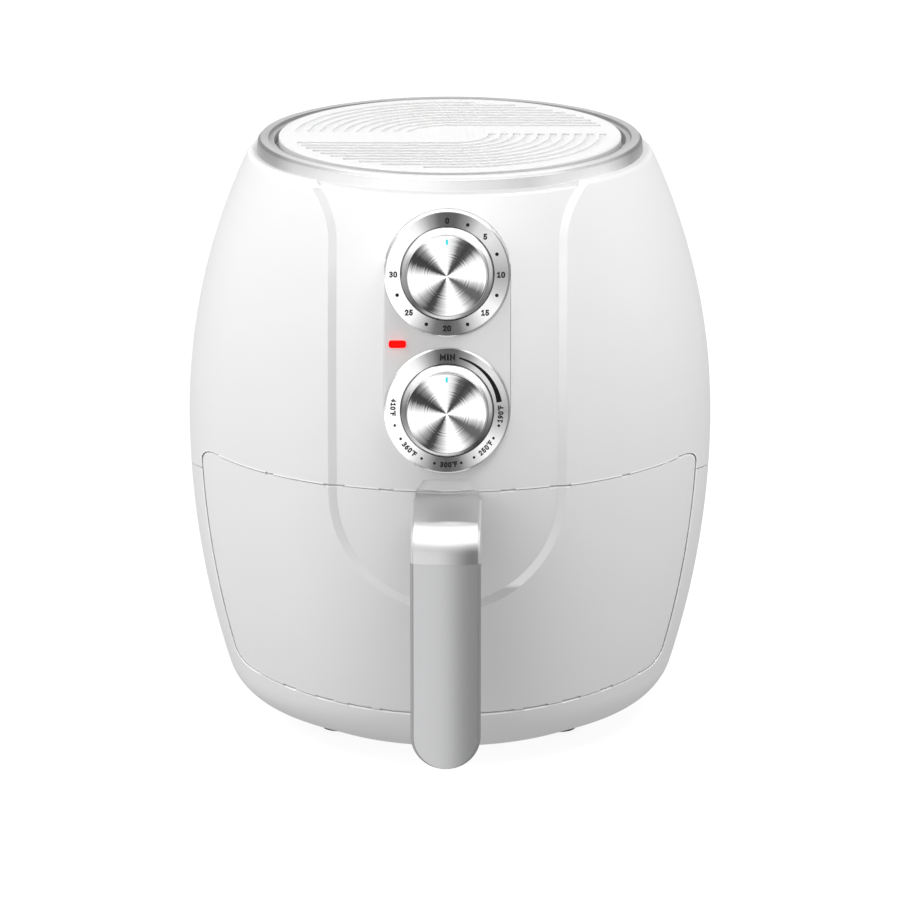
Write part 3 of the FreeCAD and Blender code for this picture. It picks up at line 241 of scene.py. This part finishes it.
def past_drawer(mt, x, z):
    """How far a point lies outside the drawer's outline, in front view: flat top, bowed sides and foot, round corners."""
    u = math_node(mt, "ABSOLUTE", x)

    def from_arc(cx, cz, r):
        a, b = math_node(mt, "SUBTRACT", u, cx), math_node(mt, "SUBTRACT", z, cz)
        span = math_node(mt, "SQRT", math_node(mt, "ADD", math_node(mt, "MULTIPLY", a, a), math_node(mt, "MULTIPLY", b, b)))
        return math_node(mt, "SUBTRACT", span, r)

    d = math_node(mt, "MAXIMUM", math_node(mt, "SUBTRACT", z, 0.153), from_arc(-0.36279, 0.17310, 0.490))
    d = math_node(mt, "MAXIMUM", d, from_arc(0.0, 0.83447, 0.803))
    for far, side, level, arc in ((0.1184, "GREATER_THAN", 0.145, (0.1184, 0.145, 0.008)),
                                  (0.09978, "LESS_THAN", 0.0455, (0.09978, 0.0487, 0.011))):
        here = math_node(mt, "MULTIPLY", math_node(mt, "GREATER_THAN", u, far), math_node(mt, side, z, level))
        d = math_node(mt, "ADD", d, math_node(mt, "MULTIPLY", here, math_node(mt, "SUBTRACT", from_arc(*arc), d)))
    return d


def shell_white(name, edge, thumb_painted_light=0.0, painted_rim_highlight=0.0):
    """White moulded shell with painted light.  Its broken edges take the edge tone, a painted highlight where that is
    lighter than the white and painted shade where darker; the slope round the sunken panel carries painted shade and
    highlight set by height and side; the last two arguments add painted highlights on the small recess above the handle
    and on a narrow strip round the drawer's opening.
    """
    mt = Mat(name, (0.83, 0.83, 0.832), 0.34)
    sep = mt.new("ShaderNodeSeparateXYZ")
    mt.link(mt.coords(), sep.inputs[0])
    x, z = sep.outputs["X"], sep.outputs["Z"]
    y = math_node(mt, "SUBTRACT", sep.outputs["Y"], AXIS_Y)
    rad = math_node(mt, "SQRT", math_node(mt, "ADD", math_node(mt, "MULTIPLY", x, x), math_node(mt, "MULTIPLY", y, y)))
    # how squarely a face looks along the barrel's own skin: 1 on the skin, less on slopes and edges
    rise = math_node(mt, "SUBTRACT", z, 0.158)
    lean = math_node(mt, "ADD", math_node(mt, "DIVIDE", math_node(mt, "MAXIMUM", rise, 0.0), 0.324),
                     math_node(mt, "DIVIDE", math_node(mt, "MINIMUM", rise, 0.0), 0.445))
    level = math_node(mt, "SQRT", math_node(mt, "SUBTRACT", 1.0, math_node(mt, "MULTIPLY", lean, lean)))
    geo = mt.new("ShaderNodeNewGeometry")
    nrm = mt.new("ShaderNodeSeparateXYZ")
    mt.link(geo.outputs["True Normal"], nrm.inputs[0])
    side = math_node(mt, "DIVIDE", math_node(mt, "ADD", math_node(mt, "MULTIPLY", nrm.outputs["X"], x),
                                             math_node(mt, "MULTIPLY", nrm.outputs["Y"], y)), rad)
    face = math_node(mt, "ADD", math_node(mt, "MULTIPLY", side, level), math_node(mt, "MULTIPLY", nrm.outputs["Z"], lean))
    body = math_node(mt, "MULTIPLY", math_node(mt, "GREATER_THAN", z, 0.0305), math_node(mt, "LESS_THAN", z, 0.2955))
    # painted light on the broken edges: the edge tone is a painted highlight on the housings and painted shade on the
    # drawer front
    painted_edge_shading = math_node(mt, "MULTIPLY", mt.span(face, 1.0, 0.0, 0.80, 0.86), body)
    slope = math_node(mt, "MULTIPLY", math_node(mt, "SUBTRACT", mt.span(face, 1.0, 0.0, 0.955, 0.975), painted_edge_shading), body)
    slope = math_node(mt, "MAXIMUM", slope, 0.0)
    front = math_node(mt, "MULTIPLY", math_node(mt, "LESS_THAN", y, 0.0), math_node(mt, "GREATER_THAN", rad, 0.08))
    slope = math_node(mt, "MULTIPLY", slope, front)
    # painted shade and highlight on the slope round the sunken panel, lighter or darker by height, one ramp for the
    # left side and one for the right
    up = mt.span(z, 0.0, 1.0, 0.085, 0.300)
    left = mt.ramp(up, [(0.033, 0.896), (0.093, 0.89), (0.14, 0.847), (0.186, 0.789), (0.242, 0.76), (0.377, 0.772), (0.549, 0.714),
                        (0.726, 0.645), (0.775, 0.655), (0.83, 0.69), (0.87, 0.675), (0.895, 0.65), (0.944, 0.635), (1.0, 0.63)])
    right = mt.ramp(up, [(0.033, 0.54), (0.076, 0.54), (0.083, 0.94), (0.163, 0.93), (0.242, 0.86), (0.377, 0.805), (0.549, 0.88),
                         (0.726, 0.913), (0.823, 0.87), (0.879, 0.83), (1.0, 0.83)])
    east = math_node(mt, "GREATER_THAN", x, 0.0)
    painted_slope_shading = math_node(mt, "ADD", math_node(mt, "MULTIPLY", right, east),
                     math_node(mt, "MULTIPLY", left, math_node(mt, "SUBTRACT", 1.0, east)))
    tone = math_node(mt, "ADD", math_node(mt, "MULTIPLY", painted_edge_shading, edge - 0.83),
                     math_node(mt, "MULTIPLY", slope, math_node(mt, "SUBTRACT", painted_slope_shading, 0.83)))
    # painted highlight: a narrow light strip on the housing just outside the drawer's outline
    if painted_rim_highlight:
        d = past_drawer(mt, x, z)
        painted_opening_highlight = math_node(mt, "MULTIPLY", mt.span(d, 1.0, 0.0, 0.00085, 0.00115), math_node(mt, "GREATER_THAN", d, 0.00005))
        painted_opening_highlight = math_node(mt, "MULTIPLY", painted_opening_highlight, math_node(mt, "MULTIPLY", front, math_node(mt, "GREATER_THAN", face, 0.5)))
        painted_opening_highlight = math_node(mt, "MULTIPLY", painted_opening_highlight, math_node(mt, "SUBTRACT", 1.0, math_node(mt, "MAXIMUM", painted_edge_shading, slope)))
        tone = math_node(mt, "ADD", tone, math_node(mt, "MULTIPLY", painted_opening_highlight, painted_rim_highlight))
    # painted highlight on the small recess above the handle, which faces a little upward
    if thumb_painted_light:
        reach = math_node(mt, "SUBTRACT", 0.0178, math_node(mt, "MULTIPLY", math_node(mt, "SUBTRACT", z, 0.150), 0.688))
        thumb_painted_area = math_node(mt, "LESS_THAN", math_node(mt, "ABSOLUTE", x), reach)
        thumb_painted_area = math_node(mt, "MULTIPLY", thumb_painted_area, math_node(mt, "LESS_THAN", z, 0.1593))
        thumb_painted_area = math_node(mt, "MULTIPLY", thumb_painted_area, math_node(mt, "MULTIPLY", math_node(mt, "GREATER_THAN", z, 0.150), front))
        tone = math_node(mt, "ADD", tone, math_node(mt, "MULTIPLY", thumb_painted_area, thumb_painted_light))
    tone = math_node(mt, "ADD", tone, mt.span(mt.noise(9), 0.826, 0.834))
    mt.link(tone, mt.b.inputs["Base Color"])
    mt.vary_rough(40, 0.03).bump(900, 0.000002).set(IOR=1.47)
    return mt.m


def lid_white():
    """White lid, painted a little darker than the shells' white as shade against the light from above, with painted
    shade down in the grooves between its ribs.
    """
    mt = Mat("lid_plastic", (0.775, 0.775, 0.777), 0.38)
    z, rad, turn = around_axis(mt)
    up = mt.span(z, 0.0, 1.0, 0.3048, 0.3058)
    up = math_node(mt, "MAXIMUM", up, math_node(mt, "GREATER_THAN", rad, 0.0835))
    # painted shade: groove floors and walls darker than the ribs' tops
    mt.link(mt.ramp(up, [(0.0, 0.745), (0.13, 0.745), (0.19, 0.715), (0.84, 0.715), (0.93, 0.775), (1.0, 0.775)]), mt.b.inputs["Base Color"])
    mt.vary_rough(60, 0.03).set(Specular_IOR_Level=0.2)
    return mt.m


def trim_silver(name, tone, rough, grain, metal=1.0):
    """Silver paint with a fine metallic grain."""
    mt = Mat(name, (tone, tone * 1.003, tone * 1.015), rough, metal)
    mt.mottle(2400, grain, 2).vary_rough(700, 0.02)
    return mt.m


def shelf_silver():
    """The handle's top plate: silver paint with painted shade across where it turns down into the grip, lighter on the
    left and darker on the right.
    """
    mt = Mat("silver_shelf", (0.58, 0.582, 0.588), 0.32, 0.75)
    sep = mt.new("ShaderNodeSeparateXYZ")
    mt.link(mt.coords(), sep.inputs[0])
    # painted shade across the plate, lighter on the left and darker on the right, used below the bend
    across = mt.ramp(mt.span(sep.outputs["X"], 0.0, 1.0, -0.01725, 0.01725),
                     [(0.0, 0.96), (0.03, 0.95), (0.10, 0.92), (0.39, 0.91), (0.53, 0.83), (0.67, 0.71), (0.745, 0.60), (0.815, 0.50),
                      (0.885, 0.465), (1.0, 0.55)])
    low = mt.span(sep.outputs["Z"], 1.0, 0.0, 0.1405, 0.1450)
    shade = math_node(mt, "SUBTRACT", 1.0, math_node(mt, "MULTIPLY", low, math_node(mt, "SUBTRACT", 1.0, across)))
    mt.link(math_node(mt, "MULTIPLY", shade, mt.span(mt.noise(2400), 0.555, 0.605)), mt.b.inputs["Base Color"])
    mt.vary_rough(700, 0.02)
    return mt.m


def handle_grey():
    """Grip core: grey along the grip, silver where it carries the top plate."""
    mt = Mat("handle_grey", (0.27, 0.272, 0.276), 0.38, 0.4)
    z, rad, turn = around_axis(mt)
    up = mt.span(z, 0.0, 1.0, 0.1325, 0.1345)
    mt.link(mt.ramp(up, [(0.0, 0.34), (0.45, 0.35), (0.55, 0.60), (1.0, 0.62)]), mt.b.inputs["Base Color"])
    mt.vary_rough(500, 0.02)
    return mt.m


def ring_silver():
    """Satin metal ring: outer wall, flat top and sunken inner ledge, with painted reflection round the wall and the
    top, set by angle, and dark painted shade where the steps meet.
    """
    mt = Mat("ring_silver", (0.88, 0.882, 0.888), 0.31, 0.35)
    z, rad, turn = around_axis(mt)
    # painted reflection round the outer wall by angle from the front: bright towards the front, darker at the sides
    wall = mt.ramp(turn, [(0.0, 0.82), (0.042, 0.80), (0.068, 0.80), (0.09, 0.98), (0.13, 1.0), (0.145, 0.96), (0.16, 0.80), (0.19, 0.40),
                          (0.25, 0.35), (0.32, 0.50), (0.42, 0.66), (0.50, 0.60), (0.58, 0.66), (0.68, 0.55), (0.75, 0.42), (0.80, 0.37),
                          (0.827, 0.42), (0.857, 0.75), (0.892, 0.86), (0.922, 0.93), (0.958, 0.92), (1.0, 0.82)])
    # painted reflection on the flat top, set by angle the same way
    top = mt.ramp(turn, [(0.0, 0.96), (0.10, 0.90), (0.17, 0.66), (0.25, 0.53), (0.40, 0.60), (0.50, 0.54), (0.60, 0.60), (0.75, 0.53),
                         (0.83, 0.66), (0.90, 0.90), (1.0, 0.96)])
    on_top = mt.span(rad, 1.0, 0.0, 0.0969, 0.0973)
    tone = math_node(mt, "ADD", math_node(mt, "MULTIPLY", top, on_top),
                     math_node(mt, "MULTIPLY", wall, math_node(mt, "SUBTRACT", 1.0, on_top)))
    # painted shade at the steps between outer wall, top and ledge
    across = mt.span(rad, 0.0, 1.0, 0.0900, 0.0990)
    painted_step_shade = mt.ramp(across, [(0.0, 0.9), (0.25, 1.0), (0.285, 0.5), (0.335, 0.5), (0.36, 1.0), (0.79, 1.0), (0.83, 0.60), (0.92, 0.60),
                             (0.95, 1.0), (1.0, 1.0)])
    mt.link(math_node(mt, "MULTIPLY", tone, painted_step_shade), mt.b.inputs["Base Color"])
    mt.vary_rough(80, 0.015)
    return mt.m


def bezel_silver(name, m):
    mt = Mat(name, (0.75, 0.755, 0.76), 0.26, 1.0)
    d, turn, rad = dial_coords(mt, m)
    # painted reflection of the spun metal: bright and dark sectors round the bezel, set by angle
    tone = mt.ramp(turn, [(0.0, 0.10), (0.025, 0.115), (0.06, 0.30), (0.095, 0.66), (0.14, 0.74), (0.19, 0.58), (0.25, 0.36),
                          (0.30, 0.52), (0.345, 0.84), (0.385, 0.88), (0.43, 0.50), (0.465, 0.17), (0.50, 0.105), (0.535, 0.17),
                          (0.57, 0.48), (0.61, 0.93), (0.65, 0.98), (0.86, 0.98), (0.905, 0.82), (0.945, 0.36), (0.975, 0.13),
                          (1.0, 0.10)])
    # painted highlight on the outer chamfer
    painted_rim_highlight = mt.span(rad, 0.0, 0.62, 0.03058, 0.03070)
    mt.link(math_node(mt, "MAXIMUM", tone, painted_rim_highlight), mt.b.inputs["Base Color"])
    ring_tangent(mt, d, tuple(m.col[2][:3]))
    mt.set(Anisotropic=0.3)
    return mt.m


# painted reflection tones round each knob's side, by turn clockwise from the top
KNOB_PAINTED_REFLECTION = {"timer": [(0.0, 0.74), (0.12, 0.72), (0.25, 0.58), (0.36, 0.34), (0.43, 0.46), (0.50, 0.60), (0.56, 0.40), (0.60, 0.13), (0.635, 0.085),
                  (0.68, 0.18), (0.75, 0.36), (0.83, 0.62), (0.92, 0.76), (1.0, 0.74)],
        "temperature": [(0.0, 0.72), (0.12, 0.74), (0.25, 0.56), (0.33, 0.22), (0.38, 0.10), (0.43, 0.26), (0.50, 0.62), (0.58, 0.52), (0.64, 0.40),
                        (0.70, 0.22), (0.76, 0.20), (0.83, 0.56), (0.92, 0.74), (1.0, 0.72)]}


def knob_silver(name, m, key):
    mt = Mat(name, (0.74, 0.745, 0.75), 0.22, 1.0)
    d, turn, rad = dial_coords(mt, m)
    # painted reflection on the knob's side, set by angle
    mt.link(mt.ramp(turn, KNOB_PAINTED_REFLECTION[key]), mt.b.inputs["Base Color"])
    mt.vary_rough(400, 0.03)
    return mt.m


def spun_cap(name, m):
    mt = Mat(name, (0.80, 0.80, 0.805), 0.30, 1.0)
    d, turn, rad = dial_coords(mt, m)
    fine = mt.new("ShaderNodeTexNoise", noise_dimensions="1D")
    fine.inputs["Scale"].default_value = 1400
    fine.inputs["Detail"].default_value = 2
    mt.link(rad, fine.inputs["W"])
    wob = math_node(mt, "MULTIPLY", math_node(mt, "SUBTRACT", fine.outputs["Fac"], 0.5), 0.046)
    t2 = math_node(mt, "FRACT", math_node(mt, "ADD", math_node(mt, "ADD", turn, wob), 1.0))
    # the fine noise gives turning marks; the bright and dark sectors set by angle are painted reflection of the spun
    # metal
    tone = mt.ramp(t2, [(0.0, 0.98), (0.03, 0.74), (0.06, 0.13), (0.095, 0.05), (0.125, 0.10), (0.16, 0.76), (0.185, 0.98), (0.265, 0.98),
                        (0.29, 0.54), (0.325, 0.12), (0.36, 0.11), (0.395, 0.42), (0.43, 0.96), (0.495, 0.98), (0.53, 0.54),
                        (0.565, 0.07), (0.59, 0.055), (0.635, 0.40), (0.675, 0.97), (0.75, 0.98), (0.775, 0.62), (0.81, 0.055),
                        (0.845, 0.04), (0.88, 0.24), (0.915, 0.95), (1.0, 0.98)])
    mt.link(tone, mt.b.inputs["Base Color"])
    ring_tangent(mt, d, tuple(m.col[2][:3]))
    mt.set(Anisotropic=0.5)
    return mt.m


MATS["lid_plastic"] = lid_white()
# edge tones 0.97 and 0.76 are painted highlight and painted shade on the broken edges; 0.10 and 0.17 are painted
# highlights on the recess above the handle and round the drawer's opening
MATS["upper_shell"] = shell_white("upper_shell_plastic", 0.97, 0.10, 0.17)
MATS["lower_shell"] = shell_white("lower_shell_plastic", 0.97, 0.0, 0.17)
MATS["front_shell"] = shell_white("front_shell_plastic", 0.76)
MATS["silver_trim"] = trim_silver("silver_trim", 0.42, 0.31, 0.02)
MATS["silver_shelf"] = shelf_silver()
MATS["handle_grey"] = handle_grey()
MATS["ring_silver"] = ring_silver()
for key in DIAL:
    MATS[key + "_bezel"] = bezel_silver(key + "_bezel_metal", DIAL[key])
    MATS[key + "_knob"] = knob_silver(key + "_knob_metal", DIAL[key], key)
    MATS[key + "_knob_cap"] = spun_cap(key + "_cap_metal", DIAL[key])

lens = Mat("red_lens_lit", (0.7, 0.003, 0.002), 0.5)
lens.mottle(300, 0.04)
lens.b.inputs["Emission Color"].default_value = (1.0, 0.003, 0.002, 1)
lens.b.inputs["Specular IOR Level"].default_value = 0.02
lens.b.inputs["Emission Strength"].default_value = 1.0
MATS["indicator_lens"] = lens.m

slot_of = {s["node"]: s["material_slot"] for s in frame["record"]["subparts"]}
special = {"top_ring": "ring_silver", "top_lid": "lid_plastic", "indicator_lens": "indicator_lens", "handle_body": "handle_grey",
           "handle_top_plate": "silver_shelf", "upper_housing": "upper_shell", "lower_housing": "lower_shell",
           "drawer_front": "front_shell"}
for key in DIAL:
    for part in ("_bezel", "_knob", "_knob_cap"):
        special[key + part] = key + part
for n, o in nodes_cad.items():
    m = MATS[special.get(n, slot_of[n])]
    o.data.materials.clear()
    o.data.materials.append(m)
nodes_cad["indicator_lens"].visible_glossy = False

# ------------------------------------------------------------------ dial print


def bow(cx, cy, rx, ry, a0, a1, n=10):
    """Points on an ellipse, angles in degrees."""
    return [(cx + rx * math.cos(math.radians(a0 + (a1 - a0) * i / n)), cy + ry * math.sin(math.radians(a0 + (a1 - a0) * i / n)))
            for i in range(n + 1)]


# Plain narrow numerals and capitals as pen strokes in a unit box; a trailing True closes a stroke.
SIX = [(bow(0.5, 0.30, 0.5, 0.30, 0, 360, 20)[:-1], True), (bow(0.95, 0.30, 0.95, 0.70, 180, 100, 10), False)]
GLYPH = {
    "0": [(bow(0.5, 0.76, 0.5, 0.24, 0, 180) + bow(0.5, 0.24, 0.5, 0.24, 180, 360), True)],
    "1": [([(0.08, 0.80), (0.55, 1.0), (0.55, 0.0)], False), ([(0.10, 0.0), (1.0, 0.0)], False)],
    "2": [(bow(0.5, 0.73, 0.48, 0.27, 172, -30, 12) + [(0.02, 0.0), (1.0, 0.0)], False)],
    "3": [(bow(0.45, 0.76, 0.50, 0.24, 140, -70, 12) + [(0.42, 0.53)], False),
          ([(0.42, 0.53)] + bow(0.45, 0.27, 0.53, 0.27, 70, -140, 12), False)],
    "4": [([(0.74, 0.0), (0.74, 1.0), (0.0, 0.28), (1.0, 0.28)], False)],
    "5": [([(0.94, 1.0), (0.14, 1.0), (0.08, 0.52)] + bow(0.46, 0.30, 0.52, 0.30, 115, -160, 14), False)],
    "6": SIX,
    "9": [([(1 - x, 1 - y) for x, y in pts], shut) for pts, shut in SIX],
    "F": [([(0.0, 0.0), (0.0, 1.0), (1.0, 1.0)], False), ([(0.0, 0.53), (0.82, 0.53)], False)],
    "M": [([(0.0, 0.0), (0.0, 1.0), (0.5, 0.22), (1.0, 1.0), (1.0, 0.0)], False)],
    "I": [([(0.5, 0.0), (0.5, 1.0)], False)],
    "N": [([(0.0, 0.0), (0.0, 1.0), (1.0, 0.0), (1.0, 1.0)], False)],
    "°": [(bow(0.5, 0.5, 0.5, 0.5, 0, 360, 16)[:-1], True)],
}


def text_mesh(word, high, pen, wide, gap):
    """Thin raised lettering, centred on its own middle: height, pen width, and each letter's width."""
    bm = bmesh.new()
    widths = [wide * {"I": 0.0, "M": 1.45, "N": 1.25}.get(c, 1.0) if c != "I" else pen for c in word]
    run = -(sum(widths) + gap * (len(word) - 1)) / 2
    for c, w in zip(word, widths):
        sx, sy = max(w - pen, 0.0), high - pen
        for layer, (pts, shut) in enumerate(GLYPH[c]):
            pts = [Vector((run + pen / 2 + sx * px, -high / 2 + pen / 2 + sy * py)) for px, py in pts]
            n = len(pts)
            rows = []
            for i, p in enumerate(pts):
                a = pts[i - 1] if shut or i > 0 else None
                b = pts[(i + 1) % n] if shut or i < n - 1 else None
                u = (p - a).normalized() if a is not None else (b - p).normalized()
                v = (b - p).normalized() if b is not None else u
                t = (u + v).normalized() if (u + v).length > 1e-6 else u
                nrm = Vector((-t.y, t.x))
                reach = pen / 2 / max(abs(nrm.dot(Vector((-u.y, u.x)))), 0.55)
                if not shut and i == 0:
                    p = p - u * (pen / 2)
                if not shut and i == n - 1:
                    p = p + u * (pen / 2)
                top = 0.00006 + 0.000004 * layer
                rows.append([bm.verts.new((*(p + nrm * reach * k), q)) for k in (1, -1) for q in (0.0, top)])
            pairs = list(zip(rows, rows[1:])) + ([(rows[-1], rows[0])] if shut else [])
            for p, q in pairs:
                for i, j in ((0, 2), (2, 3), (3, 1), (1, 0)):
                    bm.faces.new((p[i], p[j], q[j], q[i]))
            if not shut:
                bm.faces.new((rows[0][0], rows[0][1], rows[0][3], rows[0][2]))
                bm.faces.new((rows[-1][0], rows[-1][2], rows[-1][3], rows[-1][1]))
        run += w + gap
    me = bpy.data.meshes.new("label")
    bm.to_mesh(me)
    bm.free()
    return me


def disc_mesh(rad, n=28):
    me = bpy.data.meshes.new("dot")
    bm = bmesh.new()
    bmesh.ops.create_circle(bm, cap_ends=True, radius=rad, segments=n)
    r = bmesh.ops.extrude_face_region(bm, geom=bm.faces[:])
    for v in [g for g in r["geom"] if isinstance(g, bmesh.types.BMVert)]:
        v.co.z += 0.00006
    bm.to_mesh(me)
    bm.free()
    return me


def merged(name, bits, material):
    """One mesh object from many (mesh, matrix) bits."""
    bm = bmesh.new()
    for me, mx in bits:
        tmp = bmesh.new()
        tmp.from_mesh(me)
        bmesh.ops.transform(tmp, matrix=mx, verts=tmp.verts)
        out = bpy.data.meshes.new("bit")
        tmp.to_mesh(out)
        tmp.free()
        bm.from_mesh(out)
        bpy.data.meshes.remove(out)
    me = bpy.data.meshes.new(name)
    bmesh.ops.recalc_face_normals(bm, faces=bm.faces)
    bm.to_mesh(me)
    bm.free()
    me.materials.append(material)
    ob = bpy.data.objects.new(name, me)
    scene.collection.objects.link(ob)
    return ob


def at_clock(m, deg, r, z, turn=0.0):
    """Matrix of a mark at a clock angle (degrees) and radius on a dial's face."""
    a = math.radians(deg)
    return m @ Matrix.Translation((r * math.sin(a), r * math.cos(a), z)) @ Matrix.Rotation(math.radians(turn), 4, "Z")


FACE = 0.0011 + 0.00002
PRINT = {"timer": DIAL["timer"] @ Matrix.Translation((-0.0001, -0.0004, 0)),
         "temperature": DIAL["temperature"] @ Matrix.Translation((-0.0001, -0.0003, 0))}
bits = []
for i, word in enumerate(("0", "5", "10", "15", "20", "25", "30")):
    bits.append((text_mesh(word, 0.0030, 0.00070, 0.0019, 0.00022), at_clock(PRINT["timer"], 45 * i, 0.0266, FACE)))
for i in range(6):
    bits.append((disc_mesh(0.0009), at_clock(PRINT["timer"], 22.5 + 45 * i, 0.0266, FACE)))
timer_print = merged("timer_scale", bits, MATS["ink"])
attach(timer_print, "housing")

bits = [(text_mesh("MIN", 0.0032, 0.00094, 0.0021, 0.0005), at_clock(PRINT["temperature"], 0.6, 0.0268, FACE))]
for deg, word in ((92.9, "190°F"), (133.6, "250°F"), (178, "300°F"), (224.3, "360°F"), (274, "410°F")):
    step = {"0": 4.3, "1": 3.9, "2": 4.3, "3": 4.3, "4": 4.3, "5": 4.3, "6": 4.3, "9": 4.3, "°": 2.7, "F": 3.4}
    wide = [step[c] for c in word]
    run = -sum(wide) / 2
    for c, w in zip(word, wide):
        a = deg - (run + w / 2)
        run += w
        lift = 0.0
        me = text_mesh(c, 0.0010, 0.00032, 0.0010, 0.0) if c == "°" else text_mesh(c, 0.0027, 0.00064, 0.0017, 0.0)
        if c == "°":
            lift = 0.0010
        bits.append((me, at_clock(PRINT["temperature"], a, 0.0267 - lift, FACE, 180 - a)))
for deg in (105.5, 120.1, 149.5, 164.4, 193.2, 207.8, 238.8, 254.4):
    bits.append((disc_mesh(0.00066), at_clock(PRINT["temperature"], deg, 0.0267, FACE)))
swell = bpy.data.meshes.new("swell")
bm = bmesh.new()
N = 40
rows = []
for i in range(N + 1):
    t = i / N
    a = math.radians(13 + (80 - 13) * t)
    half = 0.00042 + 0.00093 * t ** 1.3
    mid = 0.0271 - 0.0008 * t
    rows.append([bm.verts.new((rr * math.sin(a), rr * math.cos(a), z)) for rr in (mid - half, mid + half) for z in (0, 0.00006)])
for p, q in zip(rows, rows[1:]):
    for i, j in ((0, 2), (2, 3), (3, 1), (1, 0)):
        bm.faces.new((p[i], p[j], q[j], q[i]))
bm.faces.new((rows[0][0], rows[0][1], rows[0][3], rows[0][2]))
bm.faces.new((rows[-1][0], rows[-1][2], rows[-1][3], rows[-1][1]))
bm.to_mesh(swell)
bm.free()
bits.append((swell, PRINT["temperature"] @ Matrix.Translation((0, 0, FACE))))
temp_print = merged("temperature_scale", bits, MATS["ink"])
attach(temp_print, "housing")


def index_mark(name, m, body):
    me = bpy.data.meshes.new(name)
    bm = bmesh.new()
    bmesh.ops.create_cube(bm, size=1.0)
    for v in bm.verts:
        v.co = Vector((v.co.x * 0.0012, 0.0169 + v.co.y * 0.0027, 0.0158 + v.co.z * 0.0009))
    bmesh.ops.bevel(bm, geom=bm.edges[:], offset=0.0002, segments=2, affect="EDGES", profile=0.5)
    bmesh.ops.transform(bm, matrix=m, verts=bm.verts)
    bm.to_mesh(me)
    bm.free()
    me.materials.append(MATS["index_blue"])
    ob = bpy.data.objects.new(name, me)
    scene.collection.objects.link(ob)
    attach(ob, body)
    return ob


index_mark("timer_index", DIAL["timer"], "timer_dial")
index_mark("temperature_index", DIAL["temperature"], "temperature_dial")

# ------------------------------------------------------------------ stage

floor_me = bpy.data.meshes.new("floor")
floor_me.from_pydata([(-9, -9, 0), (9, -9, 0), (9, 9, 0), (-9, 9, 0)], [], [(0, 1, 2, 3)])
floor = bpy.data.objects.new("floor", floor_me)
scene.collection.objects.link(floor)
fl = Mat("floor_pale", (0.15, 0.15, 0.15), 0.8).mottle(3, 0.004).set(Emission_Color=(1, 1, 1, 1), Emission_Strength=0.875)
floor_me.materials.append(fl.m)
floor.visible_diffuse = False
floor.visible_glossy = False
floor.visible_shadow = False

world = bpy.data.worlds.new("studio")
scene.world = world
world.use_nodes = True
bg = next(n for n in world.node_tree.nodes if n.type == "BACKGROUND")
bg.inputs["Color"].default_value = (1, 1, 1, 1)
bg.inputs["Strength"].default_value = 0.46


def area(name, loc, aim, size, energy, size_y=None):
    li = bpy.data.lights.new(name, "AREA")
    li.shape = "RECTANGLE" if size_y else "SQUARE"
    li.size = size
    if size_y:
        li.size_y = size_y
    li.energy = energy
    ob = bpy.data.objects.new(name, li)
    ob.location = loc
    ob.rotation_mode = "QUATERNION"
    ob.rotation_quaternion = (Vector(aim) - Vector(loc)).to_track_quat("-Z", "Y")
    scene.collection.objects.link(ob)
    return ob


def around(name, az, el, energy, size=1.1, dist=2.8):
    """Soft box on a sphere round the object; azimuth 0 is in front, positive to the right."""
    a, e = math.radians(az), math.radians(el)
    loc = (dist * math.sin(a) * math.cos(e), -dist * math.cos(a) * math.cos(e), 0.15 + dist * math.sin(e))
    ob = area(name, loc, (0, 0, 0.15), size, energy)
    ob.visible_camera = False
    ob.visible_glossy = False
    return ob


def card(name, az, el, wide, high, glow, dist=3.0):
    """Large pale card that only shows as a reflection; glow is its brightness."""
    a, e = math.radians(az), math.radians(el)
    loc = (dist * math.sin(a) * math.cos(e), -dist * math.cos(a) * math.cos(e), 0.15 + dist * math.sin(e))
    ob = area(name, loc, (0, 0, 0.15), wide, glow * math.pi * wide * high, high)
    ob.visible_camera = False
    ob.visible_diffuse = False
    return ob


around("high_front", 40, 62, 14.6)
around("high_right", 65, 62, 24.8)
around("left_high", -85, 40, 34.0)
around("left_front", -27, 12, 14.3, 2.2)
around("left_low", -55, 12, 6.5, 2.2)
around("left_back", -115, 9, 8.0)
around("right_low", 95, 12, 15.2)
around("back_high", 130, 62, 4.0)
around("back_left", -160, 12, 7.2)
around("back_right", 165, 12, 8.0)
card("sky_front", -5, 26, 5.6, 3.3, 0.60)
card("sky_high", -5, 46, 5.6, 2.5, 1.20)
card("sky_top", 0, 84, 5.0, 3.0, 1.70)
card("low_left", -40, -26, 5.6, 2.5, 0.99)
a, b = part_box("indicator_lens")
glow = bpy.data.lights.new("lamp_glow", "POINT")
glow.color = (1.0, 0.02, 0.015)
glow.energy = 0.0008
glow.shadow_soft_size = 0.0012
glow_ob = bpy.data.objects.new("lamp_glow", glow)
glow_ob.location = (Vector(a) + Vector(b)) / 2 + Vector((0, -math.cos(TILT), math.sin(TILT))) * 0.0032
scene.collection.objects.link(glow_ob)
glow_ob.visible_camera = False
glow_ob.visible_glossy = False

cam_data = bpy.data.cameras.new("camera")
cam = bpy.data.objects.new("camera", cam_data)
scene.collection.objects.link(cam)
cam_data.sensor_width = 36.0
cam_data.lens = 215.2
az, pitch = math.radians(0.64), math.radians(15.55)
cam.location = (2.7 * math.sin(az), AXIS_Y - 2.7 * math.cos(az), 0.889)
cam.rotation_mode = "QUATERNION"
cam.rotation_quaternion = Vector((-math.sin(az) * math.cos(pitch), math.cos(az) * math.cos(pitch), -math.sin(pitch))).to_track_quat("-Z", "Y")
cam_data.clip_start, cam_data.clip_end = 0.05, 60
scene.camera = cam
scene.view_settings.view_transform = "Standard"
scene.view_settings.look = "None"
scene.cycles.use_denoising = True
scene.cycles.denoising_input_passes = "RGB_ALBEDO_NORMAL"
scene.cycles.denoising_prefilter = "ACCURATE"
scene.cycles.caustics_reflective = False
scene.cycles.caustics_refractive = False
scene.cycles.sample_clamp_indirect = 4.0
